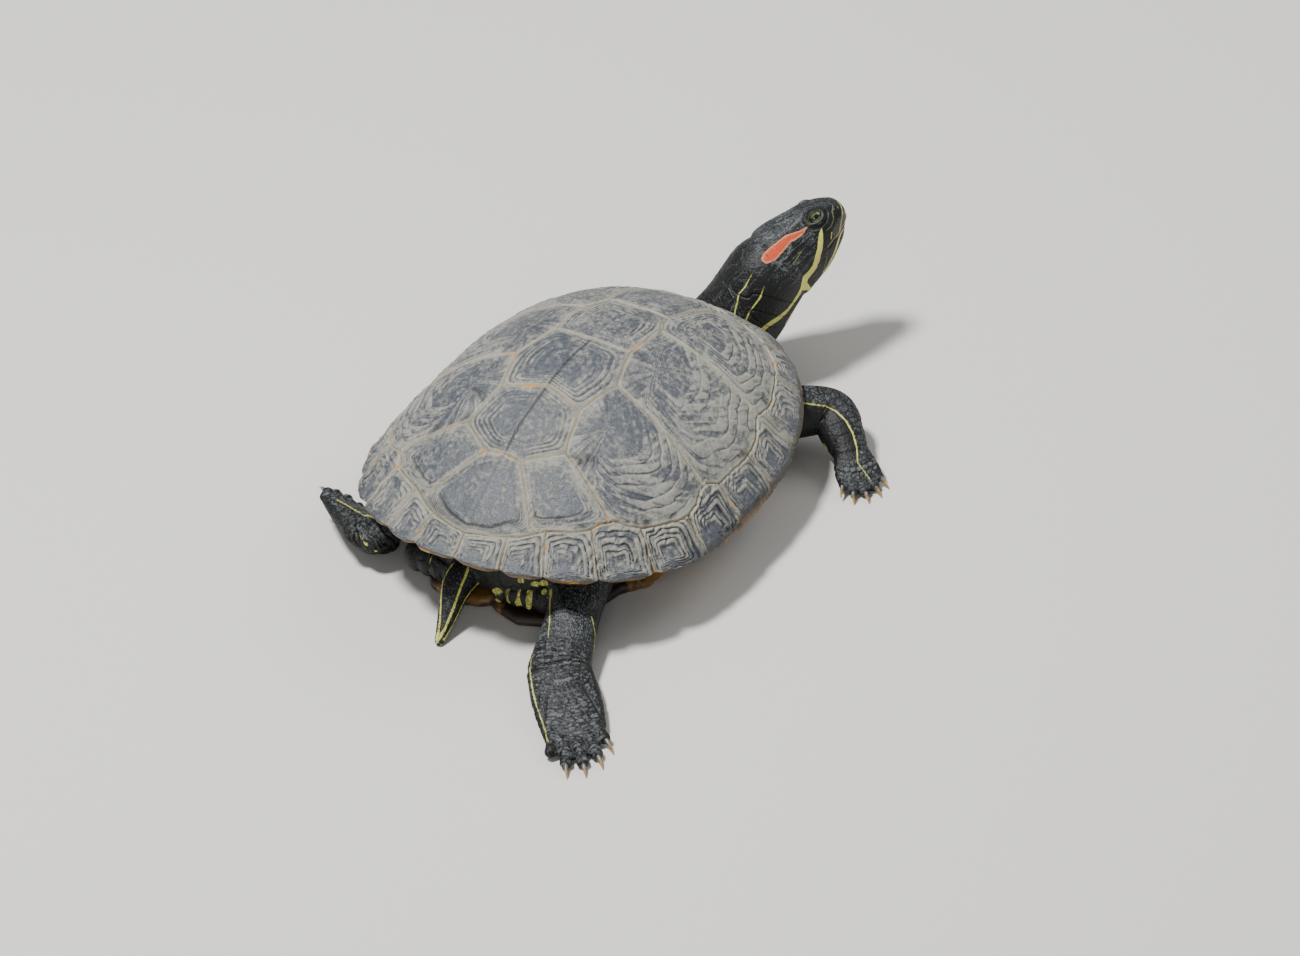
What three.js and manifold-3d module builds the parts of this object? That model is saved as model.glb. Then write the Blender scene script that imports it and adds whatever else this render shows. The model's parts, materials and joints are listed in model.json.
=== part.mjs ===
// Red-eared slider turtle, life size: the head is raised and turned to the right, the right
// hind leg and the tail lie stretched out behind, and the plastron rests on the floor.
// Millimetres. +X to the front, +Y to the turtle's left, +Z up. The origin is the middle of
// the plastron's flat underside, on the floor.
import * as THREE from 'three';
import { mergeVertices } from 'three/addons/utils/BufferGeometryUtils.js';
import Module from 'manifold-3d';

const wasm = await Module();
wasm.setup();

// ---- driving dimensions ----
const gap = 0.3; // between neighbouring pieces
const shellLength = 240;
const shellWidth = 200;
const shellHeight = 95.5;
const shellMiddleX = -1; // where the shell is widest and highest
const sideMarginHeight = 30; // lower edge of the shell beside the bridge
const frontMarginRise = 15; // how much higher the edge is at the nuchal scute
const rearMarginRise = 21; // and at the supracaudal scutes
const outlinePower = 2.28; // roundness of the outline seen from above
const marginalDepth = 16; // width of the marginals' flat underside
const lipDrop = 1.6; // of that underside, below the edge's widest line
const ceilingShare = 0.45; // height of the inner ceiling, of the dome's height there
const ceilingLimit = 14;
const notchDepth = 2.2; // of the saw edge between the rear marginals
const rearFlare = 3.4; // outwards, of the marginals over the thighs
const flareAngle = 125; // where it is greatest, from straight ahead
const flareReach = 30;
// seams between the marginals, as angles from straight ahead: nuchal/1, 1/2 ... 11/12
const marginalSeams = [4.5, 15.3, 28.3, 43, 61.3, 78.2, 95.8, 112.4, 128.5, 142.8, 156.4, 167.4];
const firstNotchedSeam = 8;

const plastronThickness = 6.5;
const plastronFront = 105; // at the midline
const plastronRear = -93; // in the notch between the anal scutes
const plastronBevel = 2;
const bridgeFront = 52;
const bridgeRear = -46;
const bridgeBow = 7; // how far its two ends are set in

const headPlace = new THREE.Vector3(167, -35, 82.5); // midway between the eyes
const headForward = new THREE.Vector3(0.776, -0.435, 0.452);
const headUp = new THREE.Vector3(-0.19, 0.52, 0.833);
const eyeRadius = 5.2;
const eyeFromMiddle = 7.1;
const eyeAboveMiddle = 0.8;

const materials = {
  scute: { color: 0x6f6f68, roughness: 0.62, metalness: 0 },
  plastron: { color: 0x9a7434, roughness: 0.55, metalness: 0 },
  skin: { color: 0x2b2e2b, roughness: 0.7, metalness: 0 },
  claw: { color: 0xa98d45, roughness: 0.4, metalness: 0 },
  eye: { color: 0x4e7a4a, roughness: 0.1, metalness: 0 },
};

// ---- helpers ----
const vec = (x, y, z) => new THREE.Vector3(x, y, z);
const clamp = THREE.MathUtils.clamp;
const radians = THREE.MathUtils.degToRad;

// A unit sphere whose points are moved to place(t, turn): t runs from 0 to 1 from one end to
// the other, and turn goes once around.
function shaped(around, along, place) {
  const sphere = new THREE.SphereGeometry(1, around, along);
  sphere.deleteAttribute('normal');
  sphere.deleteAttribute('uv');
  const geometry = mergeVertices(sphere, 1e-5);
  const position = geometry.attributes.position;
  for (let i = 0; i < position.count; i += 1) {
    const t = Math.acos(clamp(position.getY(i), -1, 1)) / Math.PI;
    const turn = Math.atan2(position.getZ(i), position.getX(i));
    const point = place(t, turn);
    position.setXYZ(i, point.x, point.y, point.z);
  }
  return geometry;
}

function signedVolume(positions, triangles) {
  const corner = (i) => vec(positions[3 * i], positions[3 * i + 1], positions[3 * i + 2]);
  let sum = 0;
  for (let i = 0; i < triangles.length; i += 3) {
    const b = corner(triangles[i + 1]);
    sum += corner(triangles[i]).dot(b.cross(corner(triangles[i + 2])));
  }
  return sum / 6;
}

function toSolid(source) {
  const bare = source.clone();
  bare.deleteAttribute('normal');
  bare.deleteAttribute('uv');
  const geometry = mergeVertices(bare, 1e-4);
  const vertProperties = new Float32Array(geometry.attributes.position.array);
  const triVerts = new Uint32Array(geometry.index.array);
  if (signedVolume(vertProperties, triVerts) < 0) {
    for (let i = 0; i < triVerts.length; i += 3) {
      [triVerts[i], triVerts[i + 1]] = [triVerts[i + 1], triVerts[i]];
    }
  }
  return new wasm.Manifold(new wasm.Mesh({ numProp: 3, vertProperties, triVerts }));
}

function toGeometry(solid) {
  const mesh = solid.getMesh();
  const geometry = new THREE.BufferGeometry();
  geometry.setAttribute('position', new THREE.BufferAttribute(mesh.vertProperties, 3));
  geometry.setIndex(new THREE.BufferAttribute(mesh.triVerts, 1));
  geometry.computeVertexNormals();
  return geometry;
}

// A box from one corner to the other, placed by a matrix.
function boxSolid(low, high, matrix = new THREE.Matrix4()) {
  const size = high.clone().sub(low);
  const middle = high.clone().add(low).multiplyScalar(0.5);
  const box = new THREE.BoxGeometry(size.x, size.y, size.z);
  box.translate(middle.x, middle.y, middle.z);
  box.applyMatrix4(matrix);
  return toSolid(box);
}

// Value at a place on the smooth curve through [place, value] pairs.
function along(pairs, place) {
  const last = pairs.length - 1;
  const found = pairs.findIndex((pair) => pair[0] > place);
  const i = clamp(found < 0 ? last - 1 : found - 1, 0, last - 1);
  const slope = (a, b) => (pairs[b][1] - pairs[a][1]) / (pairs[b][0] - pairs[a][0]);
  const width = pairs[i + 1][0] - pairs[i][0];
  const s = clamp((place - pairs[i][0]) / width, 0, 1);
  const startSlope = slope(Math.max(i - 1, 0), i + 1) * width;
  const endSlope = slope(i, Math.min(i + 2, last)) * width;
  const rise = s * s * (3 - 2 * s);
  return pairs[i][1] * (1 - rise) + pairs[i + 1][1] * rise
    + startSlope * s * (1 - s) ** 2 - endSlope * s * s * (1 - s);
}

// A tapering rod through stations { at, wide, deep }, with a dome past each end. side points
// across it, and grow makes it thicker all round.
function rod(stations, side, { grow = 0, around = 12, rings = 7 } = {}) {
  const domeRings = 2;
  const path = new THREE.CatmullRomCurve3(stations.map((station) => station.at));
  const last = stations.length - 1;
  const size = (key, t) => along(stations.map((station, i) => [i / last, station[key]]), t) + grow;
  return toSolid(shaped(around, rings, (share, turn) => {
    const ring = Math.round(share * rings);
    const t = clamp((ring - domeRings) / (rings - 2 * domeRings), 0, 1);
    const pastEnd = Math.max(domeRings - ring, ring - rings + domeRings, 0) / domeRings;
    const shrink = Math.cos((pastEnd * Math.PI) / 2);
    const push = Math.sign(share - 0.5) * Math.sin((pastEnd * Math.PI) / 2) * size('deep', t);
    const tangent = path.getTangent(t);
    const across = side.clone().addScaledVector(tangent, -side.dot(tangent)).normalize();
    const above = tangent.clone().cross(across).normalize();
    return path.getPoint(t)
      .addScaledVector(tangent, push)
      .addScaledVector(across, size('wide', t) * shrink * Math.cos(turn))
      .addScaledVector(above, size('deep', t) * shrink * Math.sin(turn));
  }));
}

const floorBox = () => boxSolid(vec(-400, -400, -100), vec(400, 400, 0));

// ---- shell ----
const tailwards = (turn) => Math.max(-Math.cos(turn), 0) ** 2;
const headwards = (turn) => Math.max(Math.cos(turn), 0) ** 2;
const marginRise = (turn) => frontMarginRise * headwards(turn) + rearMarginRise * tailwards(turn);
const marginHeight = (turn) => sideMarginHeight + marginRise(turn);

function outlineRadius(turn) {
  const reach = shellLength / 2 - Math.sign(Math.cos(turn)) * shellMiddleX;
  const lengthwise = (Math.abs(Math.cos(turn)) / reach) ** outlinePower;
  const crosswise = (Math.abs(Math.sin(turn)) / (shellWidth / 2)) ** outlinePower;
  const fromFlare = (Math.abs(turn) - radians(flareAngle)) / radians(flareReach);
  return (lengthwise + crosswise) ** (-1 / outlinePower) + rearFlare * Math.max(1 - fromFlare ** 2, 0);
}

function domeHeight(share, turn) {
  const fullness = 2.31 - 0.34 * tailwards(turn) + 0.17 * headwards(turn);
  const steepness = 0.78 + 0.39 * tailwards(turn) + 0.2 * headwards(turn);
  const rise = shellHeight - marginHeight(turn);
  return marginHeight(turn) + rise * Math.max(1 - share ** fullness, 0) ** steepness;
}

// All marginal seams around the shell, with steps of equal size between them.
function rimAngles(stepsPerScute) {
  const left = marginalSeams.map(radians);
  const seams = [...left.map((a) => -a).reverse(), ...left, Math.PI];
  const turns = [];
  let from = -Math.PI;
  seams.forEach((seam) => {
    for (let k = 0; k < stepsPerScute; k += 1) turns.push(from + ((seam - from) * k) / stepsPerScute);
    from = seam;
  });
  return turns;
}

function notchAt(turn) {
  const notched = marginalSeams.slice(firstNotchedSeam).concat(180).map(radians);
  const nearest = Math.min(...notched.map((seam) => Math.abs(Math.abs(turn) - seam)));
  return notchDepth * Math.max(0, 1 - nearest / radians(3));
}

function carapaceSolid(grow = 0) {
  const stepsPerScute = 3;
  const turns = rimAngles(stepsPerScute);
  const topShares = [0, 0.28, 0.5, 0.67, 0.81, 0.92, 0.975, 1];
  const underInsets = [1.2, marginalDepth, marginalDepth + 6, marginalDepth + 26];
  const rings = topShares.length + underInsets.length;
  const underHeight = (inset, radius, turn) => {
    if (inset <= marginalDepth) return marginHeight(turn) - lipDrop;
    const domeRise = domeHeight(1 - inset / radius, turn) - marginHeight(turn);
    return marginHeight(turn) + Math.min(ceilingLimit, ceilingShare * domeRise);
  };
  return toSolid(shaped(turns.length, rings, (t, rawTurn) => {
    const step = Math.round((rawTurn / (2 * Math.PI)) * turns.length + turns.length) % turns.length;
    const turn = turns[step];
    const radius = outlineRadius(turn) - notchAt(turn);
    const ring = Math.round(t * rings);
    const at = (r, z) => vec(shellMiddleX + r * Math.cos(turn), r * Math.sin(turn), z);
    if (ring < topShares.length) {
      const share = topShares[ring];
      return at(radius * share + grow * share, domeHeight(share, turn));
    }
    if (ring === rings) return vec(shellMiddleX, 0, sideMarginHeight + ceilingLimit - grow);
    const inset = underInsets[ring - topShares.length];
    return at(radius - inset, underHeight(inset, radius, turn) - grow);
  }));
}

// The left half of the plastron seen from above: front lobe, bridge, hind lobe and its notch.
function plastronOutline(grow) {
  const front = [[104, 12], [100, 26], [84, 44], [62, 54], [50, 64]];
  const rear = [[-44, 64], [-56, 54], [-78, 49], [-94, 36], [-100, 20], [-96, 5]];
  const left = [...front, ...rear].map(([x, y]) => [x + Math.sign(x) * grow, y + grow]);
  const right = left.map(([x, y]) => [x, -y]).reverse();
  const ends = { front: [plastronFront + grow, 0], rear: [plastronRear - grow, 0] };
  const points = [ends.front, ...left, ends.rear, ...right];
  return new THREE.Shape(points.map(([x, y]) => new THREE.Vector2(x, y)));
}

// One side wall between the plastron and the marginals, bowed like the shell's edge.
function bridgeSolid(side, grow) {
  const top = 48;
  const section = new THREE.Shape();
  section.moveTo(54, 0);
  section.lineTo(63 + grow, 0);
  section.quadraticCurveTo(80 + grow, 7, 88 + grow, 26);
  section.lineTo(88 + grow, top);
  section.lineTo(81 - grow, top);
  section.quadraticCurveTo(74 - grow, 14 + grow, 54, plastronThickness + grow);
  const length = bridgeFront - bridgeRear + 2 * grow;
  const settings = { depth: length, steps: 4, bevelEnabled: false, curveSegments: 4 };
  const wall = new THREE.ExtrudeGeometry(section, settings);
  const position = wall.attributes.position;
  for (let i = 0; i < position.count; i += 1) {
    const fromMiddle = (2 * position.getZ(i)) / length - 1;
    const y = position.getX(i) - bridgeBow * fromMiddle ** 2;
    position.setXYZ(i, bridgeRear - grow + position.getZ(i), side * y, position.getY(i));
  }
  return toSolid(wall);
}

function plastronSolid(grow = 0) {
  const bevel = { bevelThickness: plastronBevel, bevelSize: plastronBevel, bevelSegments: 1 };
  const depth = plastronThickness + grow - 2 * plastronBevel;
  const settings = { depth, bevelOffset: -plastronBevel, ...bevel };
  const plate = new THREE.ExtrudeGeometry(plastronOutline(grow), settings);
  plate.translate(0, 0, plastronBevel);
  return toSolid(plate).add(bridgeSolid(1, grow)).add(bridgeSolid(-1, grow));
}

// ---- trunk ----
function trunkSolid(grow = 0) {
  const halfLength = 98;
  const halfWidth = 78;
  const middleHeight = 28;
  const halfHeight = 27;
  const squareness = 0.62;
  return toSolid(shaped(22, 7, (t, turn) => {
    const flat = Math.sin(Math.PI * t) ** squareness;
    const lift = Math.sign(0.5 - t) * Math.abs(Math.cos(Math.PI * t)) ** squareness;
    const x = (halfLength + grow) * flat * Math.cos(turn);
    const y = (halfWidth + grow) * flat * Math.sin(turn);
    return vec(x, y, middleHeight + (halfHeight + grow) * lift);
  }));
}

// ---- head and neck ----
const headX = headForward.clone().normalize();
const headY = headUp.clone().cross(headX).normalize();
const headZ = headX.clone().cross(headY);
const headMatrix = new THREE.Matrix4().makeBasis(headX, headY, headZ).setPosition(headPlace);
const inHead = (x, y, z) => vec(x, y, z).applyMatrix4(headMatrix);

// Profile of the head from the back to the snout, in its own frame: x forward from the eyes.
const headRoof = [[-38, 14], [-22, 12.9], [-8, 9.9], [0, 8.2], [7, 5.2], [12.5, 1.4], [15.8, -1.8]];
const headFloor = [[-38, -31], [-19, -28], [-8, -26], [0, -22.9], [7, -19], [12.5, -14], [15.8, -9.5]];
const headHalfWidth = [[-38, 18], [-19, 16.6], [-8, 14], [0, 11.6], [7, 9], [12.5, 6.9], [15.8, 5.4]];
const snoutX = 15.8;
const headBackX = -38;
const mouthFront = vec(14.8, 0, -12.8);
const mouthCorner = vec(-4, 0, -15.6);
const beakBack = 3.5;
const beakTop = -7.5;

function headWhole(grow = 0) {
  const snoutRound = 3;
  const snoutPower = 2.5; // above 2 is squarer than a quarter circle
  const backRound = 9;
  return toSolid(shaped(16, 12, (t, turn) => {
    const x = THREE.MathUtils.lerp(snoutX + grow, headBackX - grow, t ** 1.8);
    const front = Math.min((snoutX + grow - x) / snoutRound, 1);
    const back = Math.min((x - headBackX + grow) / backRound, 1);
    const frontShrink = (1 - (1 - front) ** snoutPower) ** (1 / snoutPower);
    const shrink = frontShrink * Math.sqrt(Math.max(1 - (1 - back) ** 2, 0));
    const roof = along(headRoof, x) + grow;
    const under = along(headFloor, x) - grow;
    const half = (along(headHalfWidth, x) + grow) * shrink;
    const middle = (roof + under) / 2;
    const cheek = Math.abs(Math.cos(turn)) ** 0.85 * Math.sign(Math.cos(turn));
    return vec(x, half * cheek, middle + ((roof - under) / 2) * shrink * Math.sin(turn));
  })).transform(headMatrix.elements);
}

// What lies under the mouth line and in front of its corner.
function jawBox(grow = 0) {
  const slope = Math.atan2(mouthFront.z - mouthCorner.z, mouthFront.x - mouthCorner.x);
  const matrix = new THREE.Matrix4().makeRotationY(-slope).setPosition(mouthCorner);
  return boxSolid(vec(-grow, -30, -30), vec(40, 30, grow), headMatrix.clone().multiply(matrix));
}

function beakBox(grow = 0) {
  return boxSolid(vec(beakBack - grow, -30, -40), vec(40, 30, beakTop + grow), headMatrix);
}

function eyeSolid(side, grow = 0) {
  const centre = inHead(0.5, side * eyeFromMiddle, eyeAboveMiddle);
  const ball = new THREE.SphereGeometry(eyeRadius + grow, 10, 7);
  ball.translate(centre.x, centre.y, centre.z);
  return toSolid(ball);
}

function neckWhole() {
  const headBase = inHead(-38, 0, -8.5);
  return rod([
    { at: vec(88, 2, 28), wide: 18, deep: 17 },
    { at: vec(106, -3, 30), wide: 21, deep: 20 },
    { at: vec(124, -12, 37.5), wide: 22, deep: 23.5 },
    { at: headBase, wide: 19.5, deep: 24 },
  ], vec(0, 1, 0), { around: 14, rings: 9 });
}

// ---- limbs ----
// Each limb's joints from the body outwards, then the tip of its longest toe.
const foreRight = { root: vec(66, -44, 28), bend: vec(98, -85, 20), end: vec(84, -104, 11) };
foreRight.tip = vec(68, -122, 3);
foreRight.up = vec(-0.2, -0.3, 1);
const foreLeft = { root: vec(70, 44, 28), bend: vec(94, 80, 22), end: vec(104, 87, 11) };
foreLeft.tip = vec(118, 98, 3);
foreLeft.up = vec(0.1, 0.1, 1);
const hindRight = { root: vec(-46, -34, 26), bend: vec(-92, -52, 18), end: vec(-128, -65, 9.5) };
hindRight.tip = vec(-176, -110, 3);
hindRight.up = vec(0, 0, 1);
const hindLeft = { root: vec(-46, 32, 26), bend: vec(-66, 66, 24), end: vec(-85, 77, 14) };
hindLeft.tip = vec(-60, 117, 9);
hindLeft.up = vec(0.57, -0.24, 0.78);

// Half sizes across and through each length of the limb, from the body outwards, and the
// shape of its toes.
const foreSizes = {
  upper: { wide: [14.5, 14.5, 13.5], deep: [13, 13, 12] },
  lower: { wide: [10.8, 11.4, 10], deep: [9.6, 9.5, 6.8] },
  palm: { wide: [8.6, 11.5, 12], deep: [5.8, 4.8, 3] },
  toes: [0.8, 0.94, 1, 0.94, 0.8],
  spread: radians(54),
  toeRadius: 2.6,
  clawLength: 10,
  clawCount: 5,
};
const hindSizes = {
  upper: { wide: [17, 16, 14], deep: [16, 14.5, 13] },
  lower: { wide: [12.8, 14.2, 16.2], deep: [11.8, 11, 8.5] },
  palm: { wide: [16.2, 17.5, 15.5], deep: [8, 5.5, 2.5] },
  toes: [0.82, 0.95, 1, 0.98, 0.86],
  spread: radians(29),
  toeRadius: 2.8,
  clawLength: 11.5,
  clawCount: 4,
};
const webShare = 0.78; // how far out the palm and web reach, of the longest toe

function lengthOf(from, to, sizes, side, options) {
  const stations = sizes.wide.map((wide, i) => {
    const at = from.clone().lerp(to, i / (sizes.wide.length - 1));
    return { at, wide, deep: sizes.deep[i] };
  });
  return rod(stations, side, options);
}

// Places of the toe ends around the foot, and the way that each toe points.
function toeRays(joints, sizes) {
  const forward = joints.tip.clone().sub(joints.end);
  const length = forward.length();
  forward.normalize();
  const side = forward.clone().cross(joints.up).normalize();
  const outwards = Math.sign(joints.root.y);
  return sizes.toes.map((share, i) => {
    const angle = -outwards * sizes.spread * (i / (sizes.toes.length - 1) - 0.5);
    const direction = forward.clone().multiplyScalar(Math.cos(angle)).addScaledVector(side, Math.sin(angle));
    return { direction, end: joints.end.clone().addScaledVector(direction, length * share) };
  });
}

function clawSolid(ray, length, grow = 0) {
  const base = ray.end.clone().addScaledVector(ray.direction, -2.5);
  const tip = base.clone().addScaledVector(ray.direction, length);
  tip.z = Math.max(tip.z - 1.5, 0.6);
  const middle = base.clone().lerp(tip, 0.5);
  middle.z += 0.9;
  const side = ray.direction.clone().cross(vec(0, 0, 1)).normalize();
  return rod([
    { at: base, wide: 1.5, deep: 1.7 },
    { at: middle, wide: 1.15, deep: 1.35 },
    { at: tip, wide: 0.35, deep: 0.4 },
  ], side, { grow, around: 5, rings: 6 });
}

function footWhole(joints, sizes) {
  const side = joints.tip.clone().sub(joints.end).cross(joints.up).normalize();
  const webEnd = joints.end.clone().lerp(joints.tip, webShare);
  const palm = lengthOf(joints.end, webEnd, sizes.palm, side, { around: 8, rings: 6 });
  return toeRays(joints, sizes).reduce((sum, ray) => {
    const root = joints.end.clone().lerp(ray.end, 0.45);
    const toe = rod([
      { at: root, wide: sizes.toeRadius + 0.8, deep: sizes.toeRadius + 0.6 },
      { at: ray.end, wide: sizes.toeRadius, deep: sizes.toeRadius },
    ], side, { around: 5, rings: 5 });
    return sum.add(toe);
  }, palm);
}

function tailWhole() {
  return rod([
    { at: vec(-84, 9, 25), wide: 10.5, deep: 9.5 },
    { at: vec(-101, 12, 19), wide: 8.5, deep: 8 },
    { at: vec(-116, 10, 9.5), wide: 5, deep: 4.8 },
    { at: vec(-128, 8, 2.2), wide: 2.2, deep: 2.3 },
  ], vec(0, 1, 0), { rings: 10 });
}

// ---- assembly ----
const group = new THREE.Group();

function addPiece(name, material, solid) {
  const mesh = new THREE.Mesh(toGeometry(solid), new THREE.MeshStandardMaterial(materials[material]));
  mesh.name = name;
  group.add(mesh);
}

const carapace = carapaceSolid();
const shellAndPlastronGrown = carapaceSolid(gap).add(plastronSolid(gap));
addPiece('carapace', 'scute', carapace);
addPiece('plastron', 'plastron', plastronSolid().subtract(carapaceSolid(gap)));
addPiece('trunk', 'skin', trunkSolid().subtract(shellAndPlastronGrown));

const bodyGrown = trunkSolid(gap).add(shellAndPlastronGrown);
addPiece('neck', 'skin', neckWhole().subtract(headWhole(gap)).subtract(bodyGrown));

const eyesGrown = eyeSolid(1, gap).add(eyeSolid(-1, gap));
const head = headWhole().subtract(eyesGrown).subtract(bodyGrown);
const beakGrown = beakBox(gap).add(jawBox(gap));
addPiece('head', 'skin', head.subtract(beakGrown));
addPiece('upper_beak', 'claw', head.intersect(beakBox()).subtract(jawBox(gap)));
addPiece('lower_jaw', 'skin', head.intersect(jawBox()));
addPiece('eye_left', 'eye', eyeSolid(1));
addPiece('eye_right', 'eye', eyeSolid(-1));
addPiece('tail', 'skin', tailWhole().subtract(bodyGrown).subtract(floorBox()));

function addLimb(names, joints, sizes) {
  const { root, bend, end } = joints;
  const side = end.clone().sub(root).cross(joints.up).normalize();
  const upper = (grow) => lengthOf(root, bend, sizes.upper, side, { grow });
  const lower = (grow) => lengthOf(bend, end, sizes.lower, side, { grow });
  const clawRays = toeRays(joints, sizes).slice(0, sizes.clawCount);
  const claws = clawRays.map((ray) => clawSolid(ray, sizes.clawLength, gap));
  const inTheWay = [...claws, lower(gap), upper(gap), bodyGrown, floorBox()];
  const foot = inTheWay.reduce((sum, cut) => sum.subtract(cut), footWhole(joints, sizes));
  addPiece(names.upper, 'skin', upper(0).subtract(bodyGrown));
  addPiece(names.lower, 'skin', lower(0).subtract(upper(gap)).subtract(bodyGrown).subtract(floorBox()));
  addPiece(names.foot, 'skin', foot);
  clawRays.forEach((ray, i) => {
    addPiece(`${names.claw}_${i + 1}`, 'claw', clawSolid(ray, sizes.clawLength).subtract(floorBox()));
  });
}

const sides = [['right', foreRight, hindRight], ['left', foreLeft, hindLeft]];
sides.forEach(([side, foreJoints, hindJoints]) => {
  const foreNames = { upper: `upper_arm_${side}`, lower: `forearm_${side}`, foot: `forefoot_${side}` };
  const hindNames = { upper: `thigh_${side}`, lower: `shank_${side}`, foot: `hindfoot_${side}` };
  foreNames.claw = `fore_claw_${side}`;
  hindNames.claw = `hind_claw_${side}`;
  addLimb(foreNames, foreJoints, foreSizes);
  addLimb(hindNames, hindJoints, hindSizes);
});

export default group;
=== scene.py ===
import json
import math
import time
import bmesh
import bpy
import numpy as np
from mathutils import Matrix, Vector
from mathutils.bvhtree import BVHTree

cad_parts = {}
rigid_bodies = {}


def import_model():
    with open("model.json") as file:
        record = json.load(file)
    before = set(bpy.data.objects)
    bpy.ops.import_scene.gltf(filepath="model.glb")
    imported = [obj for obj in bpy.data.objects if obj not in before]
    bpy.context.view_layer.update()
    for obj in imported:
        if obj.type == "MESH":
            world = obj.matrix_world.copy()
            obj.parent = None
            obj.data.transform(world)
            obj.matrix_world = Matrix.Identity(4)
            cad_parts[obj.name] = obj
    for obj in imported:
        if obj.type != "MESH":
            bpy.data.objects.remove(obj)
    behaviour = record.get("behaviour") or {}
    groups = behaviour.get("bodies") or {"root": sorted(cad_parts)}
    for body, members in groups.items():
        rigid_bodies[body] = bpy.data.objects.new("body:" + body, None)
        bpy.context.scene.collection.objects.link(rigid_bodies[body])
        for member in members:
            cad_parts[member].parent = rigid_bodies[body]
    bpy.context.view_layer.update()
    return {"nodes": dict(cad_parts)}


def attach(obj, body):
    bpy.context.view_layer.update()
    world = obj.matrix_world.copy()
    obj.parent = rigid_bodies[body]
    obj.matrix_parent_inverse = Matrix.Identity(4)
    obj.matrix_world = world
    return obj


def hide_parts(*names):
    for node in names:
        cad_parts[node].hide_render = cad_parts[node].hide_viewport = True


# Red-eared slider, life size. Lengths are millimetres until a mesh is made; +X is the turtle's front.
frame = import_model()
started = time.perf_counter()
toMetres = 0.001
# points across the carapace, face sizes in mm and smoothing rounds of the joined meshes, and the beak's grid
detail = {"carapace": 540, "headVoxel": 0.36, "headRounds": 25, "jointRounds": 42, "bodyVoxel": 0.54,
          "bodyRounds": 19, "plastronVoxel": 0.95, "plastronRounds": 8, "beak": (181, 41)}


def report(words):
    print(f"{time.perf_counter() - started:6.1f} s  {words}")


# numbers and curves
def unit(vector):
    vector = np.asarray(vector, float)
    return vector / np.maximum(np.linalg.norm(vector, axis=-1, keepdims=True), 1e-12)


def ease(low, high, value):
    share = np.clip((value - low) / (high - low), 0, 1)
    return share * share * (3 - 2 * share)


def bell(distance, width):
    return np.exp(-((distance / width) ** 2))


def curveThrough(pairs, place):
    xs, ys = np.array(sorted(pairs), float).T
    last = len(xs) - 1
    i = np.clip(np.searchsorted(xs, place, side="right") - 1, 0, last - 1)
    before, after = np.maximum(i - 1, 0), np.minimum(i + 2, last)
    width = xs[i + 1] - xs[i]
    s = np.clip((place - xs[i]) / width, 0, 1)
    startSlope = (ys[i + 1] - ys[before]) / (xs[i + 1] - xs[before]) * width
    endSlope = (ys[after] - ys[i]) / (xs[after] - xs[i]) * width
    rise = s * s * (3 - 2 * s)
    return ys[i] * (1 - rise) + ys[i + 1] * rise + startSlope * s * (1 - s) ** 2 - endSlope * s * s * (1 - s)


# noise that is the same on every run
def hashed(cells, seed):
    c = np.asarray(cells).astype(np.int64).astype(np.uint32)
    key = c[..., 0] * np.uint32(73856093) ^ c[..., 1] * np.uint32(19349663) ^ c[..., 2] * np.uint32(83492791)
    key = key ^ np.uint32((seed * 374761393 + 668265263) % 2**32)
    for shift, factor in ((15, 2246822519), (13, 3266489917), (16, 1)):
        key = (key ^ (key >> np.uint32(shift))) * np.uint32(factor)
    return key / 2.0**32


def softNoise(points, size, seed):
    p = points / size
    base = np.floor(p)
    f = p - base
    f = f * f * (3 - 2 * f)
    total = 0
    for corner in np.ndindex(2, 2, 2):
        share = np.prod(np.where(corner, f, 1 - f), -1)
        total = total + share * hashed(base + corner, seed)
    return 2 * total - 1


def layeredNoise(points, size, seed, layers=3):
    return sum(softNoise(points, size / 2**k, seed + k) / 2**k for k in range(layers)) / (2 - 2 / 2**layers)


def cellNoise(points, size, seed):
    # nearest and second nearest cell centre, in cells, and a random number for the nearest
    p = points / size
    base = np.floor(p)
    first = np.full(len(p), 9.0)
    second = first.copy()
    mark = np.zeros(len(p))
    for step in np.ndindex(3, 3, 3):
        cell = base + step - 1
        centre = np.stack([hashed(cell, seed + k) for k in range(3)], -1) * 0.8 + 0.1 + cell
        distance = np.linalg.norm(p - centre, axis=1)
        nearer = distance < first
        second = np.where(nearer, first, np.minimum(second, distance))
        mark = np.where(nearer, hashed(cell, seed + 7), mark)
        first = np.where(nearer, distance, first)
    return first, second, mark


# meshes from arrays
def gridFaces(rows, columns, closed=False):
    index = np.arange(rows * columns).reshape(rows, columns)
    if closed:
        index = np.hstack([index, index[:, :1]])
    return np.stack([index[:-1, :-1], index[1:, :-1], index[1:, 1:], index[:-1, 1:]], -1).reshape(-1, 4)


def makeMesh(name, points, faceSets, values=None):
    loops = np.concatenate([faces.ravel() for faces in faceSets]).astype(np.int32)
    sizes = np.concatenate([np.full(len(faces), faces.shape[1]) for faces in faceSets])
    mesh = bpy.data.meshes.new(name)
    mesh.vertices.add(len(points))
    mesh.vertices.foreach_set("co", (points * toMetres).astype(np.float32).ravel())
    mesh.loops.add(len(loops))
    mesh.loops.foreach_set("vertex_index", loops)
    mesh.polygons.add(len(sizes))
    mesh.polygons.foreach_set("loop_start", (np.cumsum(sizes) - sizes).astype(np.int32))
    mesh.update(calc_edges=True)
    mesh.shade_smooth()
    for key, value in (values or {}).items():
        layer = mesh.attributes.new(key, "FLOAT", "POINT")
        layer.data.foreach_set("value", np.broadcast_to(value, len(points)).astype(np.float32))
    return mesh


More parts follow.
